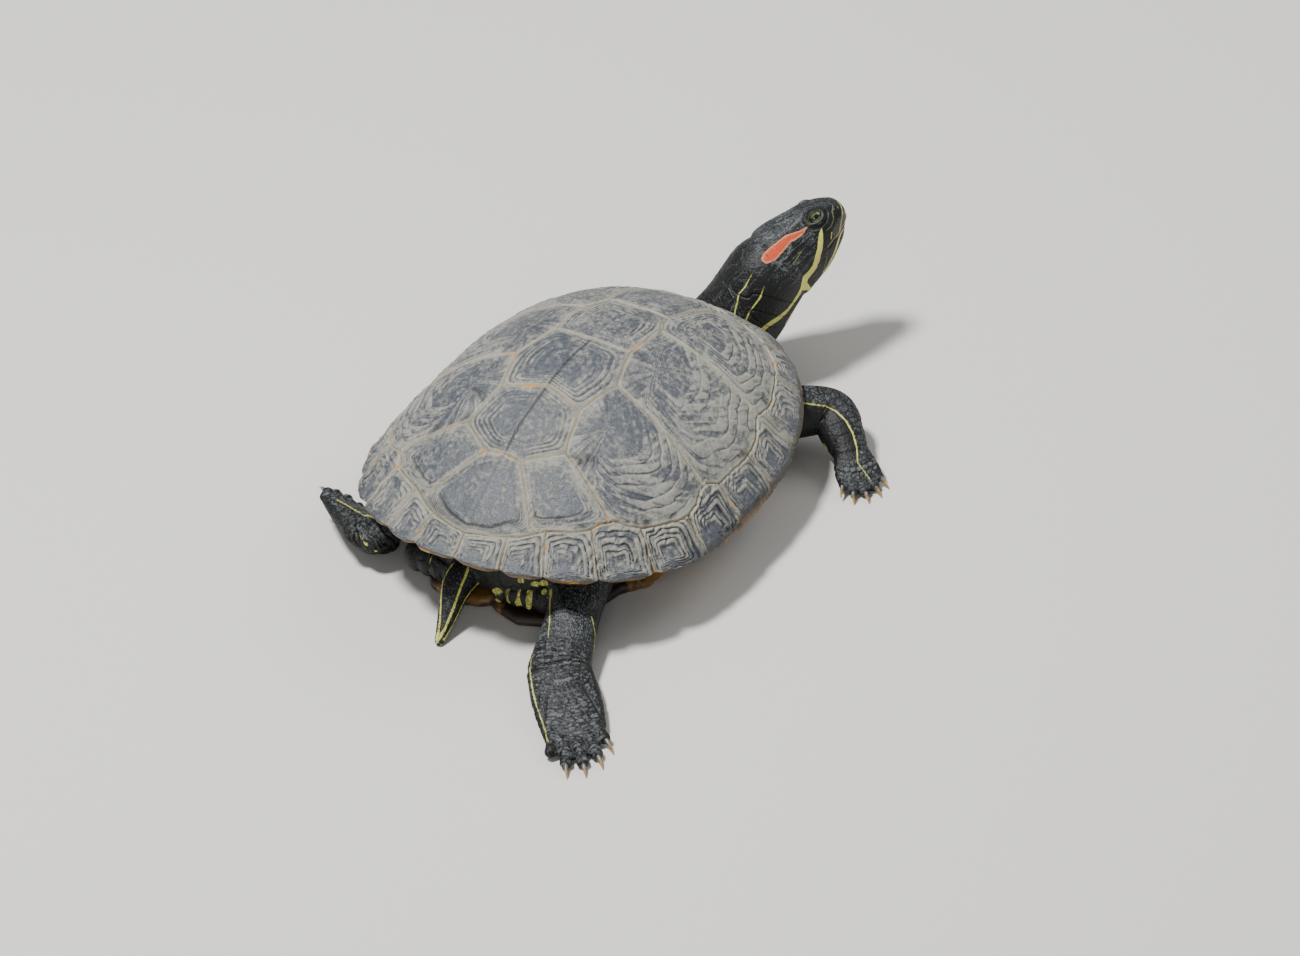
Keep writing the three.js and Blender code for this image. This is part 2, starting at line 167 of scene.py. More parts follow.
def meshArrays(mesh):
    points = np.empty(len(mesh.vertices) * 3, np.float32)
    mesh.vertices.foreach_get("co", points)
    mesh.calc_loop_triangles()
    triangles = np.empty(len(mesh.loop_triangles) * 3, np.int32)
    mesh.loop_triangles.foreach_get("vertices", triangles)
    return points.reshape(-1, 3).astype(float) / toMetres, triangles.reshape(-1, 3)


def vertexNormals(points, faces):
    ends = (0, 2, 1, 3) if faces.shape[1] == 4 else (0, 1, 0, 2)
    a, b, c, d = (points[faces[:, i]] for i in ends)
    normal = np.cross(b - a, d - c)
    corners = faces.shape[1]
    total = [np.bincount(faces.ravel(), np.repeat(normal[:, k], corners), len(points)) for k in range(3)]
    return unit(np.stack(total, 1))


def relaxed(points, faces, rounds):
    # evens out creases without shrinking: each round draws in, then pushes back
    corners = faces.shape[1]
    source = np.concatenate([faces[:, i] for i in range(corners)])
    target = np.concatenate([faces[:, (i + 1) % corners] for i in range(corners)])
    count = np.maximum(np.bincount(target, minlength=len(points)), 1)[:, None]
    for _ in range(rounds):
        for weight in (0.6, -0.61):
            total = [np.bincount(target, points[source, k], len(points)) for k in range(3)]
            points = points + weight * (np.stack(total, 1) / count - points)
    return points


def remeshed(parts, voxel):
    # joins overlapping closed shapes into one skin of even quads
    points = np.concatenate([part[0] for part in parts])
    starts = np.cumsum([0] + [len(part[0]) for part in parts])
    faces = [part[1] + start for part, start in zip(parts, starts)]
    piece = bpy.data.objects.new("shapes", makeMesh("shapes", points, faces))
    bpy.context.scene.collection.objects.link(piece)
    modifier = piece.modifiers.new("join", "REMESH")
    modifier.mode = "VOXEL"
    modifier.voxel_size = voxel * toMetres
    made = bpy.data.meshes.new_from_object(piece.evaluated_get(bpy.context.evaluated_depsgraph_get()))
    joined = np.empty(len(made.vertices) * 3, np.float32)
    made.vertices.foreach_get("co", joined)
    loops = np.empty(len(made.loops), np.int32)
    made.loops.foreach_get("vertex_index", loops)
    bpy.data.objects.remove(piece)
    bpy.data.meshes.remove(made)
    return joined.reshape(-1, 3).astype(float) / toMetres, loops.reshape(-1, 4)


def keptFaces(points, faces, keep):
    # drops faces with a corner outside keep, and the points that no face uses
    faces = faces[keep[faces].all(1)]
    used, inverse = np.unique(faces.ravel(), return_inverse=True)
    return points[used], inverse.reshape(faces.shape)


def addPiece(name, mesh, material, slot, *nodes):
    piece = bpy.data.objects.new(name, mesh)
    bpy.context.scene.collection.objects.link(piece)
    mesh.materials.append(material)
    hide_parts(*nodes)
    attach(piece, "root")
    return piece


# shader helpers: settings that many nodes share, then the functions
mixColours = {"out": 2, "data_type": "RGBA"}  # its share goes into input 0 and its colours into 6 and 7
smoothly = {"interpolation_type": "SMOOTHSTEP"}


def colour(code):
    parts = [int(code[i:i + 2], 16) / 255 for i in (1, 3, 5)]
    return tuple(p / 12.92 if p <= 0.04045 else ((p + 0.055) / 1.055) ** 2.4 for p in parts) + (1,)


def perSize(size):
    return 1000 / size  # a pattern's scale from its size in mm


def addNode(tree, kind, inputs=None, out=0, **settings):
    # inputs are numbers, hex colours or other nodes' outputs; gives the output named or numbered by out
    node = tree.nodes.new("ShaderNode" + kind)
    for key, value in settings.items():
        setattr(node, key, value)
    for key, value in (inputs or {}).items():
        if isinstance(value, bpy.types.NodeSocket):
            tree.links.new(value, node.inputs[key])
        else:
            node.inputs[key].default_value = colour(value) if isinstance(value, str) else value
    return node.outputs[out]


def newMaterial(name, **shader):
    material = bpy.data.materials.new(name)
    material.use_nodes = True
    principled = material.node_tree.nodes["Principled BSDF"]
    for key, value in shader.items():
        principled.inputs[key.replace("_", " ")].default_value = value
    return material, material.node_tree, principled


def joinFinish(tree, shader, body, rough=None, height=None, strength=0.3, depth=0.1):
    # links a material's colour and, where it has them, its roughness and its relief, depth in mm
    tree.links.new(body, shader.inputs["Base Color"])
    if rough is not None:
        tree.links.new(rough, shader.inputs["Roughness"])
    if height is not None:
        bump = addNode(tree, "Bump", {"Height": height, "Strength": strength, "Distance": depth * toMetres})
        tree.links.new(bump, shader.inputs["Normal"])


# the carapace; fullness and steepness are the dome's at the sides, then what its rear and its front add
shell = {
    "length": 240, "width": 200, "height": 95.5, "middleX": -1, "roundness": 2.28,
    "fullness": (2.31, -0.34, 0.17), "steepness": (0.78, 0.39, 0.2),
    "sideMargin": 30, "frontRise": 15, "rearRise": 21, "flare": 3.4, "flareAngle": 125, "flareReach": 30,
    "edgeRadius": 1.3, "lipDepth": 16, "lipDrop": 1.6, "ceiling": 14,
    "notch": 2.8, "notchReach": 3.2, "firstNotched": 8, "waves": 0.3, "rearWaves": 1.3, "waveSize": 7,
    "marginalSeams": (4.5, 15.3, 28.3, 43, 61.3, 78.2, 95.8, 112.4, 128.5, 142.8, 156.4, 167.4),
    "marginalDepths": ((0, 15), (15, 17.5), (28, 13), (45, 13), (55, 13), (63, 15.5), (70, 12), (78, 10.8),
                       (90, 11), (96, 11.5), (102, 15.7), (108, 12.5), (115, 12), (128, 16.5), (133, 20),
                       (137.6, 24), (143, 21.5), (156, 21.5), (167, 17), (180, 14.5)),
}


def shellRadius(turn):
    reach = shell["length"] / 2 - np.sign(np.cos(turn)) * shell["middleX"]
    power = shell["roundness"]
    total = (np.abs(np.cos(turn)) / reach) ** power + (np.abs(np.sin(turn)) / (shell["width"] / 2)) ** power
    fromFlare = (np.abs(turn) - math.radians(shell["flareAngle"])) / math.radians(shell["flareReach"])
    return total ** (-1 / power) + shell["flare"] * np.maximum(1 - fromFlare**2, 0)


def shellEnds(turn):
    return np.maximum(-np.cos(turn), 0) ** 2, np.maximum(np.cos(turn), 0) ** 2


def marginHeight(turn):
    tailwards, headwards = shellEnds(turn)
    return shell["sideMargin"] + shell["frontRise"] * headwards + shell["rearRise"] * tailwards


def domeHeight(share, turn):
    tailwards, headwards = shellEnds(turn)
    fullness, steepness = (side + rear * tailwards + front * headwards
                           for side, rear, front in (shell["fullness"], shell["steepness"]))
    low = marginHeight(turn)
    return low + (shell["height"] - low) * np.maximum(1 - share**fullness, 0) ** steepness


def shellNotch(turn):
    seams = np.radians(shell["marginalSeams"][shell["firstNotched"]:] + (180,))
    nearest = np.abs(np.abs(turn)[..., None] - seams).min(-1)
    return shell["notch"] * np.maximum(1 - nearest / math.radians(shell["notchReach"]), 0) ** 1.3


def shellWaves(turn):
    # the worn, uneven edge of the rear marginals
    around = np.stack([np.cos(turn) * 110, np.sin(turn) * 100, 0 * turn], -1)
    depth = shell["waves"] + shell["rearWaves"] * ease(1.7, 2.3, np.abs(turn))
    return depth * (0.5 + 0.5 * layeredNoise(around, shell["waveSize"], 15, 2))


# Corners of the scutes on the left side, seen from above. The vertebral row's edge runs from the nuchal
# to the tail and zigzags: a cross seam leaves it at every second corner, a costal seam at the others.
scutes = {
    "rowEdge": ((106, 9), (97, 22), (58, 18), (44, 24), (17.6, 22.4), (-6.8, 30.8), (-30.4, 23.1),
                (-54.1, 29.9), (-66.8, 10.5), (-92.6, 31.2)),
    "crossAtMidline": (58, 16.8, -23.6, -65.6),
    "costalAtMargin": ((40.3, 80.6), (-19.2, 85.2), (-68.9, 62.1)),
    "lastSeam": ((-103.6, 16), (-105.3, 0)),
    "seamWidth": 0.45, "seamDepth": 0.55, "seamWander": 0.8, "wanderSize": 16, "keelWidth": 0.75,
    "ringHeight": 0.62, "foldHeight": 0.36, "foldLength": 1.9,
    # of each scute: how far its first plate reaches to the seams, its rings, the step round that plate, and
    # how much more silt than usual lies on it
    "growthOf": {
        "vertebral": ((0.5, 5, 0.2, 0), (0.5, 5, 0.2, 0), (0.5, 5, 0.2, -0.06), (0.55, 5, 0.4, -0.2),
                      (0.78, 5, 1, -0.05)),
        "costal": ((0.33, 6, 0.2, 0.12), (0.33, 6, 0.3, 0.04), (0.38, 6, 0.3, -0.08), (0.66, 5, 0.9, 0.08)),
        "marginal": ((0.24, 5, 0.2, -0.06),) * 13,
    },
}


def marginalDepthAt(turn):
    return curveThrough(shell["marginalDepths"], np.degrees(np.abs(turn)))


def marginalLine(degrees):
    turn = math.radians(degrees)
    r = shellRadius(turn) - marginalDepthAt(turn)
    return (shell["middleX"] + r * math.cos(turn), r * math.sin(turn))


def outlinePoint(degrees):
    turn = math.radians(degrees)
    return (shell["middleX"] + shellRadius(turn) * math.cos(turn), shellRadius(turn) * math.sin(turn))


def turnOf(point):
    return math.degrees(math.atan2(point[1], point[0] - shell["middleX"]))


def scutePolygons():
    # outline of every scute of the left half, and the place that it grew from
    edge = scutes["rowEdge"]
    cross = [(marginalLine(0)[0], 0)] + [(x, 0) for x in scutes["crossAtMidline"]] + [scutes["lastSeam"][1]]
    found = {}
    for k in range(5):
        corners = list(edge[max(2 * k, 0):2 * k + 3])
        if k == 4:
            corners = [edge[8], edge[9], scutes["lastSeam"][0]]
        line = [cross[k], *corners, cross[k + 1]]
        middle = (0.42 * cross[k][0] + 0.58 * cross[k + 1][0], 0)
        found["vertebral", k] = (line, middle)
    outer = [marginalLine(19), *scutes["costalAtMargin"], marginalLine(157)]
    for k in range(4):
        inner = list(edge[max(2 * k - 1, 0) + (1 if k == 0 else 0):2 * k + 4] if k < 3 else edge[7:10])
        seams = [a for a in shell["marginalSeams"] if turnOf(outer[k]) < a < turnOf(outer[k + 1])]
        line = inner + [outer[k + 1]] + [marginalLine(a) for a in reversed(seams)] + [outer[k]]
        middle = 0.62 * np.mean(line, 0) + 0.38 * np.mean(inner[-2:], 0)
        found["costal", k] = (line + [line[0]], middle)
    angles = (0,) + shell["marginalSeams"] + (180,)
    for k, (a, b) in enumerate(zip(angles, angles[1:])):
        line = [marginalLine(a), marginalLine(b), outlinePoint(b), outlinePoint(a)]
        middle = 0.5 * np.mean(line, 0) + 0.5 * np.mean([outlinePoint(b), outlinePoint((a + 2 * b) / 3)], 0)
        if k == 0:
            middle = (np.mean([p[0] for p in line]), 0)
        found["marginal", k] = (line + ([] if k == 0 else [line[0]]), middle)
    return found


def seamLines():
    edge = scutes["rowEdge"]
    rows = {"row": list(zip(edge, edge[1:]))}
    rows["row"] += [((x, 0), corner) for x, corner in zip(scutes["crossAtMidline"], edge[2::2])]
    rows["row"] += list(zip(edge[3::2], scutes["costalAtMargin"]))
    ring = [marginalLine(a) for a in np.linspace(0, 180, 46)]
    rows["margin"] = list(zip(ring, ring[1:]))
    rows["margin"] += [(marginalLine(a), outlinePoint(a)) for a in shell["marginalSeams"] + (180,)]
    return rows


def distanceToLines(x, y, slopeX, slopeY, lines):
    # along the curved surface: the rise of the shell between a point and the seam counts too
    best = np.full(len(x), 1e9)
    for (ax, ay), (bx, by) in lines:
        dx, dy = bx - ax, by - ay
        share = np.clip(((x - ax) * dx + (y - ay) * dy) / (dx * dx + dy * dy), 0, 1)
        wx, wy = x - ax - share * dx, y - ay - share * dy
        rise = slopeX * wx + slopeY * wy
        best = np.minimum(best, wx * wx + wy * wy + rise * rise)
    return np.sqrt(best)


def scuteFields(plan, slopeX, slopeY):
    # for points seen from above: distance to the seams, growth rings and radial streaks of their scute
    flat = np.c_[plan, np.zeros(len(plan))]
    wander = np.stack([layeredNoise(flat, scutes["wanderSize"], seed, 3) for seed in (3, 9)], 1)
    p = plan + scutes["seamWander"] * wander
    x, y = p[:, 0], np.abs(p[:, 1])
    side = np.sign(plan[:, 1])
    turn = np.arctan2(y, x - shell["middleX"])
    inset = shellRadius(turn) - np.hypot(x - shell["middleX"], y)
    lines = seamLines()
    slopeY = slopeY * side
    rowSeam = distanceToLines(x, y, slopeX, slopeY, lines["row"])
    marginSeam = distanceToLines(x, y, slopeX, slopeY, lines["margin"])
    onMargin = inset < marginalDepthAt(turn)
    edgeX, edgeY = np.array(sorted(scutes["rowEdge"])).T
    vertebral = ~onMargin & ((y < np.interp(x, edgeX, edgeY)) | (x < edgeX[0]))
    rowSeam = np.where(onMargin, 99, rowSeam)
    corners = scutes["rowEdge"][2::2]
    crossX = [c[0] + (m - c[0]) * (1 - y / c[1]) for m, c in zip(scutes["crossAtMidline"], corners)]
    row = sum((x < cross).astype(int) for cross in crossX)
    seamX = [a[0] + (y - a[1]) * (b[0] - a[0]) / (b[1] - a[1])
             for a, b in zip(scutes["rowEdge"][3::2], scutes["costalAtMargin"])]
    costal = sum((x < seam).astype(int) for seam in seamX)
    marginal = np.searchsorted(np.array(shell["marginalSeams"]), np.degrees(turn))
    growth, angle, tone, outwards, moat, silt = (np.zeros(len(x)) for _ in range(6))
    size, areola, rings = np.ones(len(x)), np.ones(len(x)), np.ones(len(x))
    for number, ((kind, k), (line, middle)) in enumerate(scutePolygons().items()):
        inside = {"vertebral": vertebral & (row == k), "costal": ~onMargin & ~vertebral & (costal == k),
                  "marginal": onMargin & (marginal == k)}[kind]
        q = np.stack([x, y], 1)[inside] - middle
        share = np.zeros(len(q))
        for a, b in zip(np.array(line, float), np.array(line, float)[1:]):
            across = np.array([b[1] - a[1], a[0] - b[0]])
            reach = (a - middle) @ across
            if abs(reach) > 1e-6:
                share += np.maximum((q @ across) / reach, 0) ** 12
        growth[inside] = np.clip(share ** (1 / 12), 0, 1)
        areola[inside], rings[inside], moat[inside], silt[inside] = scutes["growthOf"][kind][k]
        away = unit(q) @ unit(np.array(middle) - (10, 0))
        outwards[inside] = 0.15 - away if kind == "marginal" else away
        angle[inside] = np.arctan2(q[:, 1], q[:, 0])
        size[inside] = 0.8 * np.mean(np.linalg.norm(np.array(line) - middle, axis=1))
        tone[inside] = hashed(np.stack([np.full(len(q), number), side[inside] + 1, 0 * share], 1), 5)
    # each growth ring is a terrace, steep on its inner side, and some are stronger than others
    where = np.c_[plan, tone * 40]
    phase = rings * (growth - areola) / np.maximum(1 - areola, 0.01)
    phase = phase + 0.4 * softNoise(where, 15, 21) + (0.16 + 0.3 * onMargin) * softNoise(where, 4.5, 22)
    which = np.floor(phase)
    step = phase - which
    strength = 0.45 + 0.55 * hashed(np.stack([which, tone * 997, 0 * which], 1), 8)
    strength = strength * ease(-0.1, 0.15, phase) * ease(-0.9, 0.1, softNoise(where, 9, 23))
    strength = strength * (0.5 + 0.5 * ease(-0.6, 0.4, outwards))
    ring = ease(0, 0.2, step) * (1 - 0.75 * ease(0.3, 1, step)) * strength
    # the rings of the costals and marginals are crossed by short folds, which change from ring to ring
    arc = angle * size * np.maximum(growth, 0.15)
    onRing = np.stack([arc / scutes["foldLength"] + 3 * which, which * 1.7 + 0.4 * step, tone * 50], 1)
    folded = ease(0, 0.5, phase) * (0.3 + 0.7 * ease(-0.4, 0.5, outwards)) * ~vertebral
    ring = ring + scutes["foldHeight"] * (2 * ease(-0.4, 0.3, softNoise(onRing, 1.0, 37)) - 1) * folded
    toStep = (growth - areola) * size + 0.5 * softNoise(where, 6, 24)
    dome = moat * ease(0.5, -0.5, toStep)
    moat = moat * ease(-0.3, 0.5, outwards)
    keel = bell(plan[:, 1] + 0.7 * softNoise(where, 13, 61), scutes["keelWidth"])
    keel = keel * ease(24, 10, x) * (0.4 + 0.6 * ease(-70, -62, x)) * vertebral
    groove = np.maximum(bell(np.minimum(step, 1 - step) * size * (1 - areola) / rings, 0.3) * strength,
                        np.maximum(moat * bell(toStep, 0.7), keel))
    streak = 0.4 * layeredNoise(np.stack([angle * size / 1.8, growth * size / 9, tone * 50], 1), 1.0, 31, 2)
    streak += 0.75 * layeredNoise(np.stack([angle * size / 8, growth * size / 1.5, tone * 50], 1), 1.0, 35, 2)
    return {"rowSeam": rowSeam, "marginSeam": marginSeam, "ring": ring, "groove": groove, "streak": streak,
            "step": dome, "silt": silt, "rim": np.maximum(inset, 0), "onMargin": onMargin.astype(float),
            "vertebral": vertebral.astype(float)}


shellRelief = {  # in mm: heights, then the sizes of the waves and the grain
    "plateau": 0.9, "seamBead": 0.3, "step": 0.55, "groove": 0.35, "keel": 0.7, "streaks": 0.14,
    "waves": 0.6, "grain": 0.2, "lip": 0.9, "lipGroove": 0.5, "waveSize": 26, "grainSize": 3.4,
    "deepestRings": 108,  # degrees from the front, where the marginals' rings are strongest
}


def scuteRelief(plan, fields):
    height = shellRelief
    seam = np.minimum(fields["rowSeam"], fields["marginSeam"])
    flat = np.c_[plan, np.zeros(len(plan))]
    aside = np.abs(np.degrees(np.arctan2(plan[:, 1], plan[:, 0])))
    relief = height["plateau"] * (1 - np.exp(-seam / 5))
    relief -= scutes["seamDepth"] * bell(seam, scutes["seamWidth"])
    relief += height["seamBead"] * bell(seam - 1.2, 0.55)
    strength = 0.7 + fields["onMargin"] * bell(aside - height["deepestRings"], 30)
    strength = strength + 0.3 * ease(10, -60, plan[:, 0])
    relief += scutes["ringHeight"] * strength * (fields["ring"] - height["groove"] * fields["groove"])
    relief += height["step"] * fields["step"] - height["groove"] * fields["groove"] * fields["vertebral"]
    relief += height["waves"] * layeredNoise(flat, height["waveSize"], 41)
    relief += height["streaks"] * fields["streak"]
    relief += height["grain"] * layeredNoise(flat, height["grainSize"], 51) * (1 - 0.7 * fields["step"])
    relief += height["keel"] * fields["vertebral"] * ease(30, -20, plan[:, 0]) * bell(plan[:, 1], 6)
    lip = height["lip"] * ease(5.5, 1.5, fields["rim"]) - height["lipGroove"] * bell(fields["rim"] - 7.5, 2.5)
    return relief + fields["onMargin"] * ease(25, 70, aside) * lip


def carapaceMesh():
    n = detail["carapace"]
    across, ahead = np.meshgrid(np.linspace(-1, 1, n), np.linspace(-1, 1, n))
    u, v = ahead * np.sqrt(1 - across**2 / 2), across * np.sqrt(1 - ahead**2 / 2)
    rho, turn = np.hypot(u, v).ravel(), np.arctan2(v, u).ravel()
    share = 0.55 * rho + 0.45 * np.sin(rho * math.pi / 2)
    rimNotch = shellNotch(turn) + shellWaves(turn)
    radius = shellRadius(turn) * share - rimNotch * share**24
    points = np.stack([shell["middleX"] + radius * np.cos(turn), radius * np.sin(turn),
                       domeHeight(share, turn)], 1)
    faces = gridFaces(n, n)
    normals = vertexNormals(points, faces)
    if normals[len(normals) // 2][2] < 0:
        faces, normals = faces[:, ::-1], -normals
    slope = -normals[:, :2] / np.maximum(normals[:, 2:], 0.2)
    fields = scuteFields(points[:, :2], slope[:, 0], slope[:, 1])
    points = points + normals * scuteRelief(points[:, :2], fields)[:, None]
    report("scutes of the carapace laid out")
    # the rim turns under in a round edge, then the marginals' undersides run in to the body; each step is
    # the inset and the lift of one ring
    index = np.arange(n * n).reshape(n, n)
    loop = np.concatenate([index[0, :-1], index[:-1, -1], index[-1, :0:-1], index[:0:-1, 0]])
    loopTurn = turn[loop]
    outer = shellRadius(loopTurn) - rimNotch[loop]
    bends = np.radians(np.linspace(0, 90, 6)[1:])
    steps = [(shell["edgeRadius"] * (1 - math.cos(a)), -shell["lipDrop"] * math.sin(a)) for a in bends]
    steps += [(inset, -shell["lipDrop"]) for inset in (2.5, 4, 6, 8, 10, 12, 14, shell["lipDepth"])]
    steps += [(shell["lipDepth"] + inset, lift) for inset, lift in ((2, 2), (6, 9), (30, shell["ceiling"]))]
    rings, ringInsets = [], []
    for inset, lift in steps:
        r = outer - inset
        under = np.stack([shell["middleX"] + r * np.cos(loopTurn), r * np.sin(loopTurn)], 1)
        rings.append(np.c_[under, marginHeight(loopTurn) + lift])
        ringInsets.append(np.full(len(loop), inset))
    rings.append(np.tile([shell["middleX"], 0, shell["sideMargin"] + shell["ceiling"]], (len(loop), 1)))
    ringInsets.append(np.full(len(loop), 100.0))
    below = np.concatenate(rings)
    belowFields = scuteFields(below[:, :2], np.zeros(len(below)), np.zeros(len(below)))
    belowSeam = belowFields["marginSeam"]
    visible = np.concatenate(ringInsets) <= shell["lipDepth"]
    below[:, 2] += visible * (scutes["seamDepth"] * bell(belowSeam, scutes["seamWidth"]))
    start = len(points)
    stack = np.concatenate([loop[None], start + np.arange(len(below)).reshape(len(rings), len(loop))])
    ringed = np.hstack([stack, stack[:, :1]])
    wall = np.stack([ringed[:-1, :-1], ringed[:-1, 1:], ringed[1:, 1:], ringed[1:, :-1]], -1).reshape(-1, 4)
    whole = np.concatenate([points, below])
    joined = {k: np.concatenate([fields[k], belowFields[k]]) for k in fields if k != "vertebral"}
    joined["under"] = np.concatenate([np.zeros(start), np.ones(len(below))])
    joined["rim"][start:] = np.concatenate(ringInsets)
    facing = np.cross(whole[wall[0, 1]] - whole[wall[0, 0]], whole[wall[0, 3]] - whole[wall[0, 0]])
    outwards = whole[wall[0, 0]] - np.array([shell["middleX"], 0, 0])
    if facing @ outwards < 0:
        wall = wall[:, ::-1]
    return makeMesh("carapace", whole, [faces, wall], joined)


def catmullRom(stops, t):
    # centripetal curve through the stops, t from 0 to 1
    stops = np.asarray(stops, float)
    padded = np.vstack([2 * stops[0] - stops[1], stops, 2 * stops[-1] - stops[-2]])
    place = np.clip(t, 0, 1) * (len(stops) - 1)
    i = np.minimum(place.astype(int), len(stops) - 2)
    w = (place - i)[:, None]
    a, b, c, d = (padded[i + k] for k in range(4))
    ends = ((a, b), (b, c), (c, d))
    first, middle, last = (np.linalg.norm(q - p, axis=1, keepdims=True) ** 0.5 for p, q in ends)
    start = ((b - a) / first - (c - a) / (first + middle)) * middle + (c - b)
    end = (c - b) - ((d - b) / (middle + last) - (d - c) / last) * middle
    return b + start * w + (3 * (c - b) - 2 * start - end) * w**2 + (2 * (b - c) + start + end) * w**3


def rodShape(stations, side, around=40, step=1.2, capLength=None):
    # a tapering closed tube through stations (place, half width, half depth), with domed ends
    places = [s[0] for s in stations]
    length = np.linalg.norm(np.diff(np.array(places, float), axis=0), axis=1).sum()
    t = np.linspace(0, 1, max(int(length / step), 6))
    knots = np.linspace(0, 1, len(stations))
    wide = curveThrough(list(zip(knots, [s[1] for s in stations])), t)
    deep = curveThrough(list(zip(knots, [s[2] for s in stations])), t)
    centre = catmullRom(places, t)
    tangent = unit(np.gradient(centre, axis=0))
    bends = np.radians(np.linspace(0, 89.9, 9)[1:])
    cap = [capLength if capLength else deep[k] for k in (0, -1)]
    centre = np.vstack([centre[0] - tangent[0] * cap[0] * np.sin(bends)[::-1, None], centre,
                        centre[-1] + tangent[-1] * cap[1] * np.sin(bends)[:, None]])
    shrink = np.concatenate([np.cos(bends)[::-1], np.ones(len(t)), np.cos(bends)])
    pad = len(bends)
    tangent, wide, deep = (np.concatenate([v[:1].repeat(pad, 0), v, v[-1:].repeat(pad, 0)])
                           for v in (tangent, wide, deep))
    across = unit(np.asarray(side, float) - (tangent @ np.asarray(side, float))[:, None] * tangent)
    above = np.cross(tangent, across)
    turn = np.linspace(0, 2 * math.pi, around, endpoint=False)[None, :, None]
    points = (centre[:, None] + (across * (wide * shrink)[:, None])[:, None] * np.cos(turn)
              + (above * (deep * shrink)[:, None])[:, None] * np.sin(turn))
    return points.reshape(-1, 3), gridFaces(len(centre), around, closed=True)


def alongPath(points, stations, count=90):
    # for each point: place along a limb's middle line in mm, turn about it (0 on top), distance in radii
    t = np.linspace(0, 1, count)
    centre = catmullRom([s[0] for s in stations], t)
    tangent = unit(np.gradient(centre, axis=0))
    radius = np.interp(t, np.linspace(0, 1, len(stations)), [(s[1] + s[2]) / 2 for s in stations])
    lengths = np.concatenate([[0], np.cumsum(np.linalg.norm(np.diff(centre, axis=0), axis=1))])
    square = (points**2).sum(1)[:, None] + (centre**2).sum(1)[None] - 2 * points @ centre.T
    nearest = square.argmin(1)
    offset = points - centre[nearest]
    direction = tangent[nearest]
    ahead = (offset * direction).sum(1)
    offset = offset - ahead[:, None] * direction
    up = unit(np.array([0, 0, 1.0]) - direction[:, 2:] * direction)
    across = np.cross(direction, up)
    turn = np.arctan2((offset * across).sum(1), (offset * up).sum(1))
    return {"s": lengths[nearest] + ahead, "turn": turn, "radius": radius[nearest],
            "away": np.sqrt(np.maximum(square.min(1), 0)) / radius[nearest], "length": lengths[-1]}


# the flesh: joints from the body outwards and the tip of the longest toe, then half sizes of each length
foreSizes = {"upper": ((14.5, 14.5, 13.5), (13, 13, 12)), "lower": ((10.8, 11.4, 10), (9.6, 9.5, 6.8)),
             "palm": ((8.6, 11.5, 12), (5.8, 4.8, 3)), "toes": (0.8, 0.94, 1, 0.94, 0.8), "spread": 54,
             "toeRadius": 2.6, "clawLength": 10, "claws": 5, "web": (0.5, 0.74)}
hindSizes = {"upper": ((17, 16, 14), (16, 14.5, 13)), "lower": ((12.8, 14.2, 16.2), (11.8, 11, 8.5)),
             "palm": ((16.2, 17.5, 15.5), (8, 5.5, 2.5)), "toes": (0.82, 0.95, 1, 0.98, 0.86), "spread": 29,
             "toeRadius": 2.8, "clawLength": 11.5, "claws": 4, "web": (0.5, 0.94)}
limbs = {
    "fore_right": {"root": (66, -44, 28), "bend": (98, -85, 20), "end": (84, -104, 11), "tip": (68, -122, 3),
                   "up": (-0.2, -0.3, 1), **foreSizes},
    "fore_left": {"root": (70, 44, 28), "bend": (94, 80, 22), "end": (104, 87, 11), "tip": (118, 98, 3),
                  "up": (0.1, 0.1, 1), **foreSizes},
    "hind_right": {"root": (-46, -34, 26), "bend": (-92, -52, 18), "end": (-128, -65, 9.5),
                   "tip": (-176, -110, 3), "up": (0, 0, 1), **hindSizes},
    "hind_left": {"root": (-46, 32, 26), "bend": (-66, 66, 24), "end": (-85, 77, 14), "tip": (-60, 117, 9),
                  "up": (0.57, -0.24, 0.78), **hindSizes},
}
neckStations = [((88, 2, 28), 18, 17), ((106, -3, 30), 21, 20), ((124, -12, 37.5), 22, 23.5)]
# the neck's root as the body has it, and the sleeve of skin round it
innerNeck = neckStations[:2] + [((116, -8, 34), 22, 23)]
neckSleeve = [((80, 2, 28), 19, 18), ((97, -1, 29.5), 22, 21), ((107, -4, 31.5), 23, 22.5)]
tailStations = [((-84, 9, 25), 10.5, 9.5), ((-101, 12, 19), 8.5, 8), ((-116, 10, 9.5), 5, 4.8),
                ((-128, 8, 2.2), 2.2, 2.3)]
rearFolds = (-32, -24, -16, -8, 22, 30, 38, 46)  # y of the soft folds between the hind legs
trunk = {"halfLength": 98, "halfWidth": 78, "middle": 28, "halfHeight": 27, "squareness": 0.62,
         "cuts": (40, -36), "skinBeyond": (44, -40)}  # x of the two halves' flat ends, and of their skins'


def limbVectors(limb):
    root, bend, end, tip = (np.array(limb[key], float) for key in ("root", "bend", "end", "tip"))
    up = np.array(limb["up"], float)
    return root, bend, end, tip, unit(np.cross(end - root, up)), unit(np.cross(tip - end, up))


def limbStations(limb):
    root, bend, end, *_ = limbVectors(limb)
    (u, v), (l, m), (p, q) = limb["upper"], limb["lower"], limb["palm"]
    return [(root, u[0], v[0]), ((root + bend) / 2, u[1], v[1]), (bend, (u[2] + l[0]) / 2, (v[2] + m[0]) / 2),
            ((bend + end) / 2, l[1], m[1]), (end, (l[2] + p[0]) / 2, (m[2] + q[0]) / 2 + 0.4)]


